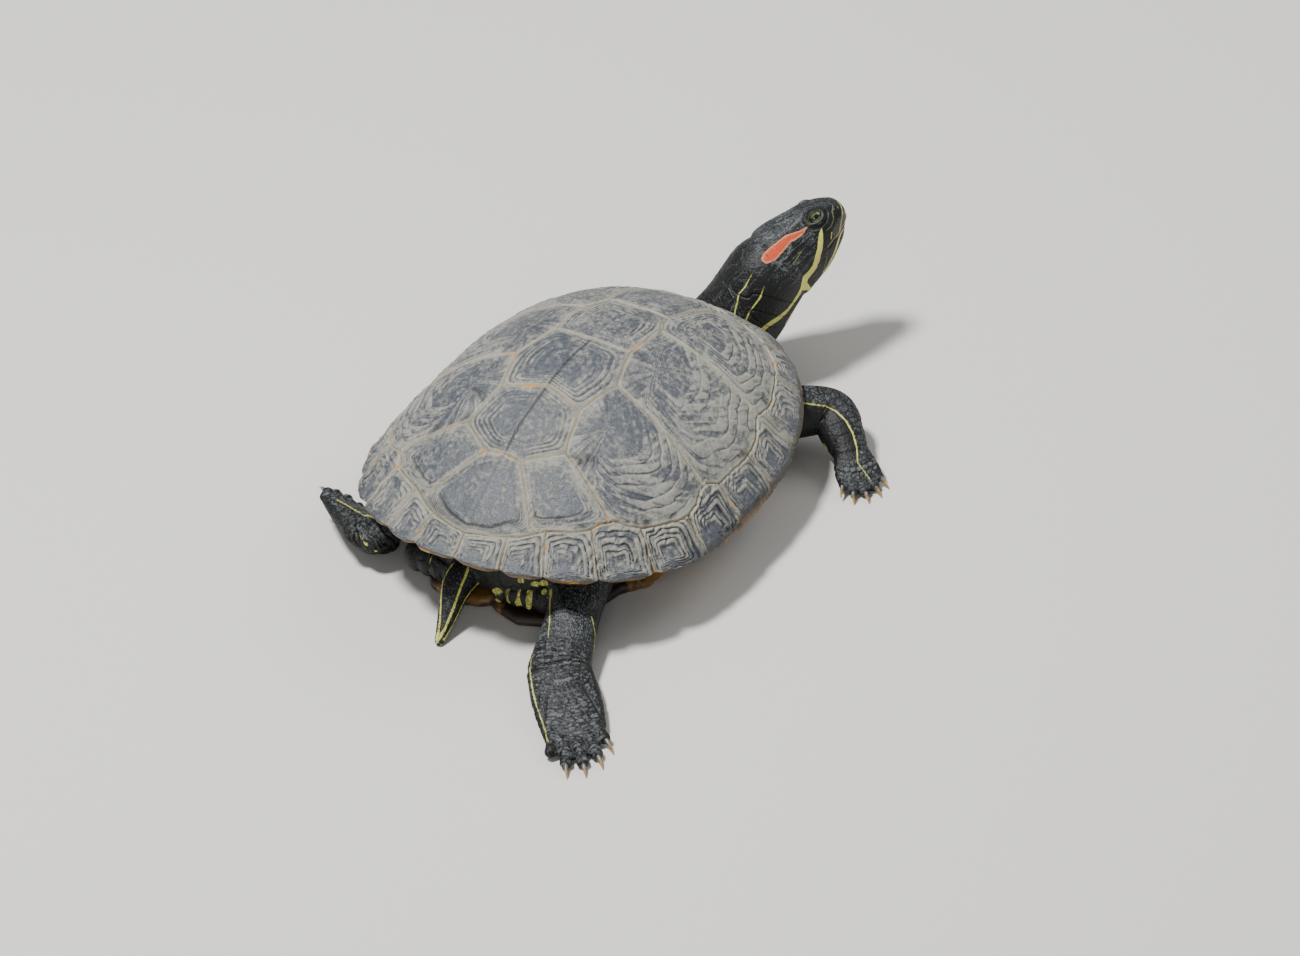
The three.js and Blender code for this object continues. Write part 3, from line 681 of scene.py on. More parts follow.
def toeRays(limb):
    # where each toe ends, and the way that it points
    root, _, end, tip, _, side = limbVectors(limb)
    length = np.linalg.norm(tip - end)
    ahead = (tip - end) / length
    outwards = np.sign(root[1])
    rays = []
    for i, share in enumerate(limb["toes"]):
        angle = -outwards * math.radians(limb["spread"]) * (i / (len(limb["toes"]) - 1) - 0.5)
        direction = ahead * math.cos(angle) + side * math.sin(angle)
        rays.append((end + direction * length * share, direction))
    return rays


def footShapes(limb):
    _, _, end, tip, _, side = limbVectors(limb)
    wide, deep = limb["palm"]
    webEnd = end + (tip - end) * 0.76
    shapes = [rodShape([(end + (webEnd - end) * k / 2, wide[k], deep[k]) for k in range(3)], side)]
    rays = toeRays(limb)
    radius = limb["toeRadius"]
    for toeEnd, _ in rays:
        root = end + (toeEnd - end) * 0.42
        knuckles = (0.9, 0.1, 0.55, -0.15, 0.5, -0.25, 0.1)  # joints and the dips between them
        stations = [(root + (toeEnd - root) * k / 6, radius + swell, radius + 0.7 * swell)
                    for k, swell in enumerate(knuckles)]
        shapes.append(rodShape(stations, side, around=24, step=0.6))
    inner, outer = limb["web"]
    for (a, _), (b, _) in zip(rays, rays[1:]):
        stations = []
        for share in (inner - 0.1, inner, (inner + outer) / 2, outer):
            left, right = end + (a - end) * share, end + (b - end) * share
            stations.append(((left + right) / 2 - (0, 0, 0.5), np.linalg.norm(left - right) / 2, 1.35))
        shapes.append(rodShape(stations, side, around=32, step=0.8))
    return shapes


def limbShapes(limb):
    _, _, _, _, side, _ = limbVectors(limb)
    return [rodShape(limbStations(limb), side)] + footShapes(limb)


def trunkShape(front):
    # the front or the rear of the body, flat where it is cut
    rows, around = 70, 150
    lift, turn = np.meshgrid(np.linspace(0.002, math.pi - 0.002, rows),
                             np.linspace(0, 2 * math.pi, around, False), indexing="ij")
    flat = np.sin(lift) ** trunk["squareness"]
    high = np.sign(np.cos(lift)) * np.abs(np.cos(lift)) ** trunk["squareness"]
    x = trunk["halfLength"] * flat * np.cos(turn)
    y = trunk["halfWidth"] * flat * np.sin(turn)
    z = trunk["middle"] + trunk["halfHeight"] * high
    x = np.maximum(x, trunk["cuts"][0]) if front else np.minimum(x, trunk["cuts"][1])
    return np.stack([x, y, z], -1).reshape(-1, 3), gridFaces(rows, around, closed=True)


# the head: its frame, and its outline from the back to the snout with x forward from the eyes
head = {
    "place": (167, -35, 82.5), "forward": (0.776, -0.435, 0.452), "up": (-0.19, 0.52, 0.833),
    "roof": ((-38, 14), (-22, 12.9), (-8, 9.9), (0, 8.2), (7, 5.2), (12.5, 1.4), (15.8, -1.8)),
    "floor": ((-38, -31), (-19, -28), (-8, -26), (0, -22.9), (7, -19), (12.5, -14), (15.8, -9.5)),
    "halfWidth": ((-38, 18), (-19, 16.6), (-8, 14), (0, 11.6), (7, 9), (12.5, 6.9), (15.8, 5.4)),
    "snout": 15.8, "snoutRound": 3, "snoutPower": 2.5, "back": -38, "backRound": 12,
    "mouth": ((14.8, -12.8), (-4, -15.6)), "nostril": (1.6, -4.4), "ear": (-19.5, -7.5, 4.6), "skinFrom": 97,
    # relief in mm
    "mouthDepth": 0.55, "jawInset": 0.4, "nostrilDepth": 0.9, "earDepth": 0.28, "brow": 0.15,
    "eyeHollow": 0.5, "jawMuscle": 0.8, "jawFold": 0.3, "foldDepth": 0.3, "foldLip": 0.25,
}
eye = {"centre": (0.5, 7.1, 0.8), "radius": 5.2, "opening": (3.9, 2.3), "lidRadius": 5.85, "slant": -4,
       "gaze": (0.15, 0.93, 0.3), "socket": (6.6, 5.4), "lidRim": 0.2, "lidFold": 0.3, "lidSlope": 1.8,
       "socketDepth": 0.5, "socketLip": 0.25, "sunk": 4.2, "cornea": 0.18, "backFlattened": 0.22}
headForward = unit(head["forward"])
headLeft = unit(np.cross(head["up"], headForward))
headFrame = np.array([headForward, headLeft, np.cross(headForward, headLeft)])


def fromHead(points):
    return np.asarray(points, float) @ headFrame + head["place"]


def toHead(points):
    return (points - head["place"]) @ headFrame.T


def headShape():
    rows, around = 130, 140
    share = np.linspace(0.0, 1.0, rows)[:, None]
    turn = np.linspace(0, 2 * math.pi, around, endpoint=False)[None]
    x = head["snout"] - 1e-6 + (head["back"] - head["snout"] + 2e-6) * share**1.8
    front = np.minimum((head["snout"] - x) / head["snoutRound"], 1)
    back = np.minimum((x - head["back"]) / head["backRound"], 1)
    power = head["snoutPower"]
    shrink = (1 - (1 - front) ** power) ** (1 / power) * np.sqrt(np.maximum(1 - (1 - back) ** 2, 0))
    roof, under = curveThrough(head["roof"], x), curveThrough(head["floor"], x)
    squareness = 0.15 * ease(-36, -20, x)  # the skull is squarer than the neck
    cheek = np.sign(np.cos(turn)) * np.abs(np.cos(turn)) ** (1 - squareness)
    jaw = 1 - 0.14 * ease(0.1, -1, np.sin(turn))  # the underside is narrower than the skull
    y = curveThrough(head["halfWidth"], x) * shrink * cheek * jaw
    crown = np.where(np.sin(turn) > 0, np.abs(np.sin(turn)) ** (1 - 1.2 * squareness), np.sin(turn))
    z = (roof + under) / 2 + (roof - under) / 2 * shrink * crown
    grid = np.stack(np.broadcast_arrays(x, y, z), -1).reshape(-1, 3)
    return fromHead(grid), gridFaces(rows, around, closed=True)


def lineDistance(points, normals, line):
    # distance in mm, along the skin, to a line of (x, y, z, half width), less its half width there
    best = np.full(len(points), 99.0)
    line = np.array(line, float)
    for a, b in zip(line, line[1:]):
        step = b[:3] - a[:3]
        share = np.clip((points - a[:3]) @ step / (step @ step), 0, 1)
        offset = points - a[:3] - share[:, None] * step
        straight = (offset**2).sum(1)
        halfWidth = a[3] + share * (b[3] - a[3])
        away = np.sqrt(np.maximum(straight - (offset * normals).sum(1) ** 2, 0)) - halfWidth
        best = np.minimum(best, np.where(straight < 36, away, 99))
    return best


# where the skin is marked, in mm. On the head: x forward from the eyes, right side, and the half width
# there; the left side is its mirror. On the body: places in the model's own frame.
headMarks = {
    "red": ((-6.0, -11.6, 1.5, 0.4), (-9.4, -12.5, 1.7, 1.35), (-13.6, -13.2, 2.9, 1.8),
            (-17.4, -13.6, 4.5, 2.2), (-22.8, -14.8, 4.9, 3.0), (-27, -15.6, 4.8, 3.3),
            (-30.5, -16, 4.6, 3.1), (-32, -16, 4.6, 2.7)),
    "yellow": (
        ((-0.6, -11.6, -4.7, 0.3), (-2.5, -12.4, -6.3, 1.1), (-5.5, -13.2, -9.1, 1.6),
         (-7.8, -13.4, -11.3, 1.6), (-11.6, -13.8, -13.6, 1.8), (-15.9, -13.8, -16.2, 1.9),
         (-20.3, -14.1, -17.1, 1.8), (-24.3, -14.3, -17.6, 2.2), (-26.6, -13.5, -19.5, 2.9)),
        ((-26.6, -12.5, -21.5, 2.3), (-25.6, -8, -26.5, 1)),
        ((-28.6, -13.7, -19.7, 1.6), (-37, -13.9, -22.6, 1.2), (-41.8, -13.8, -23.6, 1.3),
         (-47, -14.9, -23.5, 1.6), (-51.5, -16, -22.4, 1.5), (-55.6, -16.3, -22.1, 1.4), (-66, -16, -22, 1)),
        ((8.5, -4, -15.8, 0.3), (5.3, -6.5, -16.4, 0.5), (0.6, -6.9, -18.9, 0.7), (-4.4, -7.3, -21.5, 0.6),
         (-10.6, -7.5, -23.7, 0.4), (-15.2, -7.3, -25, 0.25)),
        ((15.1, -2.5, -2.9, 0.2), (14.5, -5, -5.8, 0.28), (12, -6.6, -9, 0.3), (7.8, -7.8, -12.2, 0.32),
         (5.2, -7.8, -14.4, 0.3)),
        ((2.2, -10.3, -10.5, 0.25), (-0.3, -10.5, -12.9, 0.25)),
        ((6, -4, -20, 0.4), (-4, -5.5, -23.6, 0.6), (-14, -6, -26.6, 0.8), (-30, -7, -29.5, 1.1),
         (-46, -7, -32, 1)),
        ((11, -0.6, -17.5, 0.3), (4, -1.2, -21, 0.5), (-6, -1.8, -25, 0.7), (-16, -2.4, -27.6, 0.9)),
        ((-43, -18.5, 5.2, 0.1), (-49.9, -17.9, 2.4, 0.3), (-54.6, -16.4, 1.2, 0.25),
         (-58, -16.4, -1.6, 0.35), (-61.5, -16.1, -4.3, 0.3), (-68, -16, -10, 0.3)),
        ((-41, -20, -2.5, 0.1), (-47.5, -20.6, -6.3, 0.45), (-52.6, -19.6, -7.8, 0.3),
         (-56.3, -18.8, -9.1, 0.35), (-64, -18, -13, 0.3))),
    "green": (((-15.4, -15.7, -4.6, 0.2), (-19.1, -16.5, -5.3, 0.4), (-22.8, -17, -6.1, 0.4),
               (-25.3, -17.2, -6.5, 0.2)),
              ((12, -5.8, -1.4, 0.2), (9.7, -7.6, -3.3, 0.3), (7.7, -8.9, -6.2, 0.28),
               (4.4, -9.9, -7.9, 0.25), (1, -11.2, -7.3, 0.2)),
              ((-5.7, -11.3, -15.7, 0.12), (-9.5, -10.2, -19.9, 0.25), (-14.7, -8.4, -24, 0.2))),
    "folds": (((-32.5, -9, 9.3, 0.1), (-31.7, -15.3, 1.1, 0.1), (-29.6, -17.3, -9.1, 0.1),
               (-27.5, -15.5, -15, 0.1)),
              ((-57, -12, 9, 0.1), (-57.5, -16, 2, 0.1), (-59.5, -16.8, -5, 0.1), (-61.5, -17, -12, 0.1))),
}
bodyMarks = (
    # right hind leg: spots at the knee, the line down its inner edge, the outer edge, the foot's fringe
    ((-89, -25, 25, 1.6), (-90, -28, 25, 1.9)), ((-94, -35, 25.5, 2.3), (-97, -38, 25.5, 2.1)),
    ((-99, -40, 25, 1.3), (-104, -46, 24, 0.45), (-112, -51, 23, 0.35), (-119, -55, 20, 0.25)),
    ((-98, -66, 22, 0.5), (-103, -70, 15, 0.5), (-112, -75, 10, 0.4)),
    ((-126, -49, 15, 0.2), (-137.8, -54.6, 13.3, 0.35), (-147, -62, 11.4, 0.45), (-156.7, -70.9, 9.6, 0.3),
     (-165, -80, 7.6, 0.4), (-173.8, -89.3, 5.7, 0.3)),
    # bars between the right thigh and the tail
    ((-92, -8, 20, 1.2), (-96, -8, 12, 1.3)), ((-91, -14, 22, 1.4), (-97, -14, 12, 1.5)),
    ((-92, -20, 20, 1.3), (-97, -20, 13, 1.5), (-96, -20, 9, 1.2)),
    ((-93, -26, 20, 1.3), (-97, -26, 10, 1.2)), ((-90, -4, 24, 1.1), (-91, -4, 22, 1.1)),
    ((-88, -18, 27, 1.6), (-89, -20, 27, 1.6)), ((-84, 30, 26, 1.3), (-92, 34, 14, 1.2)),
    ((-82, 38, 26, 1.4), (-88, 40, 12, 1.2)), ((-78, 46, 26, 1.3), (-84, 48, 13, 1.2)),
    # tail
    ((-98, 15, 27, 0.5), (-107, 17, 22, 0.5), (-114, 14, 16, 0.5), (-122, 10.5, 10, 0.5), (-130, 8, 3, 0.7)),
    ((-98, 7.5, 27, 0.6), (-106, 6.5, 23, 0.6), (-117, 6.5, 13, 0.6), (-124, 6.8, 7.5, 0.55),
     (-130, 8, 3, 0.7)),
    ((-96, 2.5, 20, 0.5), (-108, 3, 15, 0.5), (-119, 5.4, 7, 0.45), (-127, 7, 3, 0.5)),
    ((-96, 22, 20, 0.5), (-106, 20, 16, 0.5), (-117, 15, 9, 0.45), (-127, 9.5, 3, 0.5)),
    # left hind leg and foot
    ((-73, 106, 18, 0.8), (-76, 96, 19.5, 0.8), (-80, 83, 22, 0.7), (-85, 71, 26, 0.5)),
    ((-94, 78, 21, 0.4), (-95, 71, 19, 0.5), (-88, 67, 13, 0.5)),
    ((-58, 76, 24, 0.9), (-52, 66, 30, 0.7)),
    # right foreleg: spots in the fold behind the line, and on the foot
    ((76, -80, 24, 1.4), (73, -78, 22, 1.6)), ((77, -90, 14, 1.1), (77, -92, 12, 1)),
    ((80, -97, 9, 0.9), (81, -98, 7, 0.8)), ((96, -104, 14, 0.3), (84, -118, 6, 0.4)),
    # left foreleg
    ((98, 68, 24, 0.5), (104, 78, 19, 0.6), (111, 86, 11, 0.5)),
)
foreLines = {  # the yellow line between the plated front edge of a foreleg and the smooth skin behind it
    "fore_right": ((72, -64, 33, 0.28), (85, -77, 32, 0.32), (91, -87, 30, 0.32), (92, -92, 28, 0.32),
                   (91, -98, 24, 0.32), (88, -104, 20, 0.32), (83, -109, 15, 0.32), (77, -113, 12, 0.28),
                   (74, -121, 6, 0.28)),
    "fore_left": ((72, 62, 33, 0.28), (82, 74, 32, 0.32), (89, 84, 30, 0.32), (95, 90, 24, 0.32),
                  (104, 94, 15, 0.32), (114, 100, 6, 0.5)),
}


def openEyes(local):
    # lids that wrap the eyeballs, with an almond opening between them and a fold round each socket;
    # also gives how near a point is to the lids' rim and to that fold
    rim, socket = np.full(len(local), 9.0), np.full(len(local), 9.0)
    for side in (1, -1):
        axis = unit(np.array(eye["gaze"]) * (1, side, 1))
        centre = np.array(eye["centre"]) * (1, side, 1)
        offset = local - centre
        distance = np.linalg.norm(offset, axis=1)
        direction = offset / distance[:, None]
        slant = math.radians(eye["slant"])
        ahead = np.array([math.cos(slant), 0, math.sin(slant)])
        ahead = unit(ahead - (ahead @ axis) * axis)
        upward = np.cross(ahead, axis)
        upward = upward * np.sign(upward[2])
        a, b = direction @ ahead * eye["radius"], direction @ upward * eye["radius"]
        wide, high = eye["opening"]
        spread = np.hypot(a / wide, b / high)
        near = (direction @ axis > 0.1) & (distance < 12)
        lid = eye["lidRadius"] + eye["lidRim"] * bell(spread - 1.12, 0.1)
        lid = lid - eye["lidFold"] * bell(spread - 1.36, 0.07)
        cover = lid - eye["lidSlope"] * ease(1.4, 1.95, spread)
        over = np.logaddexp(distance * 3, cover * 3) / 3
        around = np.hypot(offset @ ahead / eye["socket"][0], offset @ upward / eye["socket"][1])
        over = over - eye["socketDepth"] * bell(around - 1, 0.07)
        over = over + eye["socketLip"] * bell(around - 1.16, 0.09)
        target = np.where(spread < 2.3, over, distance)
        target = target + (distance - target) * ease(1.9, 2.3, spread)
        target = target + (eye["sunk"] - target) * ease(1.04, 0.86, spread)
        moved = centre + direction * target[:, None]
        local = np.where(near[:, None], moved, local)
        rim = np.where(near, np.minimum(rim, spread), rim)
        socket = np.where(near, np.minimum(socket, around), socket)
    return local, rim, socket


def mouthHeight(x):
    (frontX, frontZ), (cornerX, cornerZ) = head["mouth"]
    along = (x - cornerX) / (frontX - cornerX)
    return cornerZ + (frontZ - cornerZ) * along - 0.5 * np.sin(np.clip(along, 0, 1) * math.pi)


def headDetail(local):
    # displacement along the normal in the head's frame, and the painted shade in its creases: the mouth line
    # and the nostril pits
    x, y, z = local.T
    cornerX = head["mouth"][1][0]
    fromMouth = z - mouthHeight(x)
    atMouth = ease(cornerX - 1.5, cornerX + 0.5, x) * ease(-50, -34, x)
    relief = -head["mouthDepth"] * bell(fromMouth, 0.4) * atMouth
    relief -= head["jawInset"] * ease(0, -0.6, fromMouth) * ease(-5, -2, fromMouth) * ease(-4, 4, x)
    creaseShade = bell(fromMouth, 0.38) * atMouth
    nostrilY, nostrilZ = head["nostril"]
    pit = bell(np.sqrt((np.abs(y) - nostrilY) ** 2 + ((z - nostrilZ) * 1.2) ** 2), 0.6) * ease(10, 12, x)
    relief -= head["nostrilDepth"] * pit
    earX, earZ, earRadius = head["ear"]
    fromEar = np.hypot(x - earX, (z - earZ) * 1.15)
    sideways = ease(7, 10, np.abs(y))
    relief -= head["earDepth"] * bell(fromEar - earRadius, 0.7) * sideways
    relief += head["brow"] * bell(np.hypot((x - 2) / 7, (z - 6.2) / 2.2), 1) * sideways
    relief -= head["eyeHollow"] * bell(np.hypot((x - 9.5) / 4, (z + 1.5) / 3), 1)
    relief += head["jawMuscle"] * bell(np.hypot((x + 20) / 10, (z + 14) / 6), 1) * sideways
    fromJawFold = z - (-17.5 - 0.16 * (x + 12))
    relief -= head["jawFold"] * bell(fromJawFold, 0.6) * ease(-28, -20, x) * ease(-7, -10, x)
    return relief, np.maximum(creaseShade, pit)


# the skin in mm: the two sides of each kind of scale, how high it stands, and the folds' depth and spacing
skinLook = {
    "scales": {"thigh": (1.15, 2.0), "shank": (1.6, 4.2), "foreleg": (3.2, 5), "tail": (1.25, 1.9),
               "toes": (2.3, 5.5), "foot": (2.1, 2.9), "beads": 1.35, "face": 1.6, "crown": 6.5},
    "heights": {"thigh": 0.22, "shankMore": 0.14, "foreleg": 0.5, "tail": 0.26, "foot": 0.28,
                "wrinkles": 0.14},
    "folds": {"shank": 1.1, "foreleg": 0.6, "neck": 0.55, "body": 0.5, "toes": 0.55, "foot": 0.5},
    "spacing": {"shank": 2.9, "foot": 4.1},
    "limbReach": (1.32, 1.12),  # in a limb's radii: where its own skin starts and where it is all there is
}


def wrinkles(s, across, length, width, seed):
    # long thin wrinkles that run with s, as bright ridges between darker ground; their brightness is partly
    # painted highlight
    place = np.stack([s / length, across / width, 0 * s + seed], 1)
    place[:, 1] += 0.5 * softNoise(place * (2, 0.3, 1), 1, seed + 3)
    line = ease(0.16, 0.0, np.abs(softNoise(place, 1, seed)))
    return line * ease(-0.8, 0.1, softNoise(place * 0.7, 1, seed + 1))


def scales(s, across, length, width, seed):
    # irregular small scales: height, and a random number for each
    warp = 0.35 * softNoise(np.stack([s / 6, across / 6, 0 * s + seed], 1), 1, seed)
    place = np.stack([s / length + warp, across / width - warp, 0 * s + 0.5], 1)
    first, second, mark = cellNoise(place, 1, seed)
    return ease(0.03, 0.26, second - first), mark


def facingUp(normals):
    # dust settles on what faces up; on the neck this also paints sheen on what faces up
    return 0.25 + 0.75 * ease(-0.5, 0.6, normals[:, 2])


def skinDetail(points, normals, path, kind):
    # relief in mm, painted shade in the creases and between the scales, and how much the scale tops are
    # bleached by dry dust; on the neck, how bright its wrinkles are painted, partly as painted highlight
    sizes, heights, depths = skinLook["scales"], skinLook["heights"], skinLook["folds"]
    s = path["s"]
    across = path["turn"] * path["radius"]
    bead, gap, mark = cellNoise(points + 0.5 * softNoise(points, 3, 5)[:, None], sizes["beads"], 71)
    grain = ease(0, 0.3, gap - bead)
    if kind == "hind":
        wave = s + 1.3 * layeredNoise(points, 8, 81, 2)
        low = ease(0.42, 0.58, s / path["length"])  # below the knee the wrinkles run across
        fine, fineMark = scales(across, wave, *sizes["thigh"], 83)
        coarse, coarseMark = scales(wave, across, *sizes["shank"], 84)
        height, mark = ((1 - low) * a + low * b for a, b in ((fine, coarse), (fineMark, coarseMark)))
        place = wave / skinLook["spacing"]["shank"] * math.pi
        ridge = np.abs(np.sin(place + 1.6 * softNoise(points, 4, 86)))
        fold = ease(0.55, 0.05, ridge) * low * ease(-0.9, -0.3, softNoise(points * (1, 1, 0.5), 6, 87))
        standing = heights["thigh"] + heights["shankMore"] * low
        relief = 0.06 * grain + standing * height - depths["shank"] * fold
        tops = height * (0.45 + 0.5 * mark - 0.1 * low) * (1 - 0.9 * fold)
        creaseShade = np.maximum(fold, 0.85 * (1 - height))
    elif kind == "fore":
        # large plates in front of the yellow line, smooth black folded skin behind it
        height, mark = scales(s, across + 1.5 * softNoise(points, 8, 92), *sizes["foreleg"], 91)
        plated = path["plated"] * ease(4, 12, s)
        folds = np.abs(softNoise(np.stack([s / 3.2, across / 20, 0 * s + 3], 1), 1, 93))
        fold = ease(0.12, 0, folds) * (1 - plated)
        smooth = 0.08 * grain - depths["foreleg"] * fold
        relief = plated * heights["foreleg"] * height + (1 - plated) * smooth
        mottled = ease(-0.3, 0.6, layeredNoise(points, 1.8, 94))
        edge = height * (1 - ease(0.75, 1.0, height) * 0.7)
        tops = plated * (0.9 * edge + 0.5 * height * mottled * mark) + (1 - plated) * 0.05 * grain
        creaseShade = np.maximum(fold, 0.8 * plated * (1 - height))
    elif kind == "tail":
        height, mark = scales(s, across, *sizes["tail"], 97)
        relief = heights["tail"] * height
        tops = height * (0.1 + 0.4 * mark)
        creaseShade = 0.9 * (1 - height)
    elif kind == "neck":
        folds = np.abs(softNoise(np.stack([s / 8, across / 40, 0 * s + 5], 1), 1, 99))
        fold = ease(0.07, 0, folds)
        line = np.maximum(wrinkles(s, across, 12, 1.3, 102), 0.8 * wrinkles(s, across, 8, 1.9, 103))
        relief = 0.08 * grain - depths["neck"] * fold + heights["wrinkles"] * line
        # the wrinkles' pale colour is partly painted highlight
        tops = 0.05 * grain * mark + 0.5 * line
        creaseShade = np.maximum(fold, 0.35 * (1 - grain))
    else:
        folds = np.abs(layeredNoise(points * (1, 1, 0.5), 7, 101, 2))
        fold = ease(0.12, 0, folds)
        relief = 0.12 * grain - depths["body"] * fold
        tops = 0.25 * grain
        creaseShade = np.maximum(fold, 1 - grain)
    return relief, np.clip(creaseShade, 0, 1), np.clip(tops, 0, 1) * facingUp(normals)


def footDetail(points, limb):
    # large smooth scales over the foot, wider ones across the toes and folds between them; the weight is 0
    # at the ankle
    _, _, end, tip, _, side = limbVectors(limb)
    forward = unit(tip - end)
    rel = points - end
    best = np.full(len(points), 99.0)
    relief, tops, creaseShade = (np.zeros(len(points)) for _ in range(3))
    lift = np.cross(side, forward)
    for i, (_, direction) in enumerate(toeRays(limb)):
        s = rel @ direction
        lateral = rel @ np.cross(lift, direction)
        away = np.abs(lateral)
        onToe = ease(limb["toeRadius"] * 1.6, limb["toeRadius"] * 0.9, away) * ease(18, 30, s)
        wide, wideMark = scales(s + 0.8 * i, lateral, *skinLook["scales"]["toes"], 111 + i)
        small, smallMark = scales(s + 0.12 * away**1.4, lateral, *skinLook["scales"]["foot"], 121)
        height, mark = (onToe * a + (1 - onToe) * b for a, b in ((wide, small), (wideMark, smallMark)))
        place = (s + 0.2 * away**1.3 + 0.9 * softNoise(points, 5, 127)) / skinLook["spacing"]["foot"]
        wrinkle = ease(0.35, 0.03, np.abs(np.sin(place * math.pi))) * (1 - onToe) * ease(26, 12, s)
        fold = bell(away - limb["toeRadius"] * 1.45, 0.55) * ease(15, 27, s)
        nearer = away < best
        best = np.where(nearer, away, best)
        depths = skinLook["folds"]
        # the third of these is painted shade, darker in the folds, the wrinkles and the gaps between the
        # scales
        details = (skinLook["heights"]["foot"] * height - depths["toes"] * fold - depths["foot"] * wrinkle,
                   height * (0.3 + 0.5 * mark) * (1 - 0.9 * fold) * (1 - 0.9 * wrinkle),
                   np.maximum(np.maximum(fold, wrinkle), 0.85 * (1 - height)))
        relief, tops, creaseShade = (np.where(nearer, new, old)
                                for new, old in zip(details, (relief, tops, creaseShade)))
    return relief, creaseShade, tops, ease(2, 12, rel @ forward)


def platedSide(points, normals, name):
    # 1 in front of the foreleg's yellow line, 0 behind it
    if name not in foreLines:
        return np.zeros(len(points))
    line = np.array(foreLines[name], float)[:, :3]
    best = np.full(len(points), 1e9)
    value = np.zeros(len(points))
    for a, b in zip(line, line[1:]):
        step = b - a
        share = np.clip((points - a) @ step / (step @ step), 0, 1)
        offset = points - a - share[:, None] * step
        away = (offset**2).sum(1)
        across = unit(np.cross(step, normals))
        nearer = away < best
        best = np.where(nearer, away, best)
        value = np.where(nearer, (offset * across).sum(1), value)
    value = value * (-1 if name == "fore_right" else 1)
    return ease(-0.2, 0.6, value) * ease(16, 12, np.sqrt(best))


def footPath(limb):
    _, _, end, tip, _, _ = limbVectors(limb)
    wide, deep = limb["palm"]
    return limbStations(limb) + [((end + tip) / 2, wide[1], deep[1]), (tip, wide[2], deep[2])]


def refined(points, faces, near):
    # splits the quads near a place into four, and gives triangles
    mesh = makeMesh("refined", points, [faces])
    work = bmesh.new()
    work.from_mesh(mesh)
    work.verts.ensure_lookup_table()
    edges = [e for e in work.edges if near[e.verts[0].index] and near[e.verts[1].index]]
    bmesh.ops.subdivide_edges(work, edges=edges, cuts=1, use_grid_fill=True)
    bmesh.ops.triangulate(work, faces=work.faces[:])
    work.to_mesh(mesh)
    work.free()
    arrays = meshArrays(mesh)
    bpy.data.meshes.remove(mesh)
    return arrays


def markDistances(local, facing):
    # from points in the head's frame, whose normals are facing, to the lines of each colour
    mirror = np.where(local[:, 1:2] > 0, -1.0, 1.0) * (0, 1, 0) + (1, 0, 1)
    folded, facing = local * mirror, facing * mirror
    found = {key: np.min([lineDistance(folded, facing, line) for line in headMarks[key]], 0)
             for key in ("yellow", "green", "folds")}
    found["red"] = lineDistance(folded, facing, headMarks["red"]) + 0.35 * softNoise(folded, 3.2, 151)
    return found


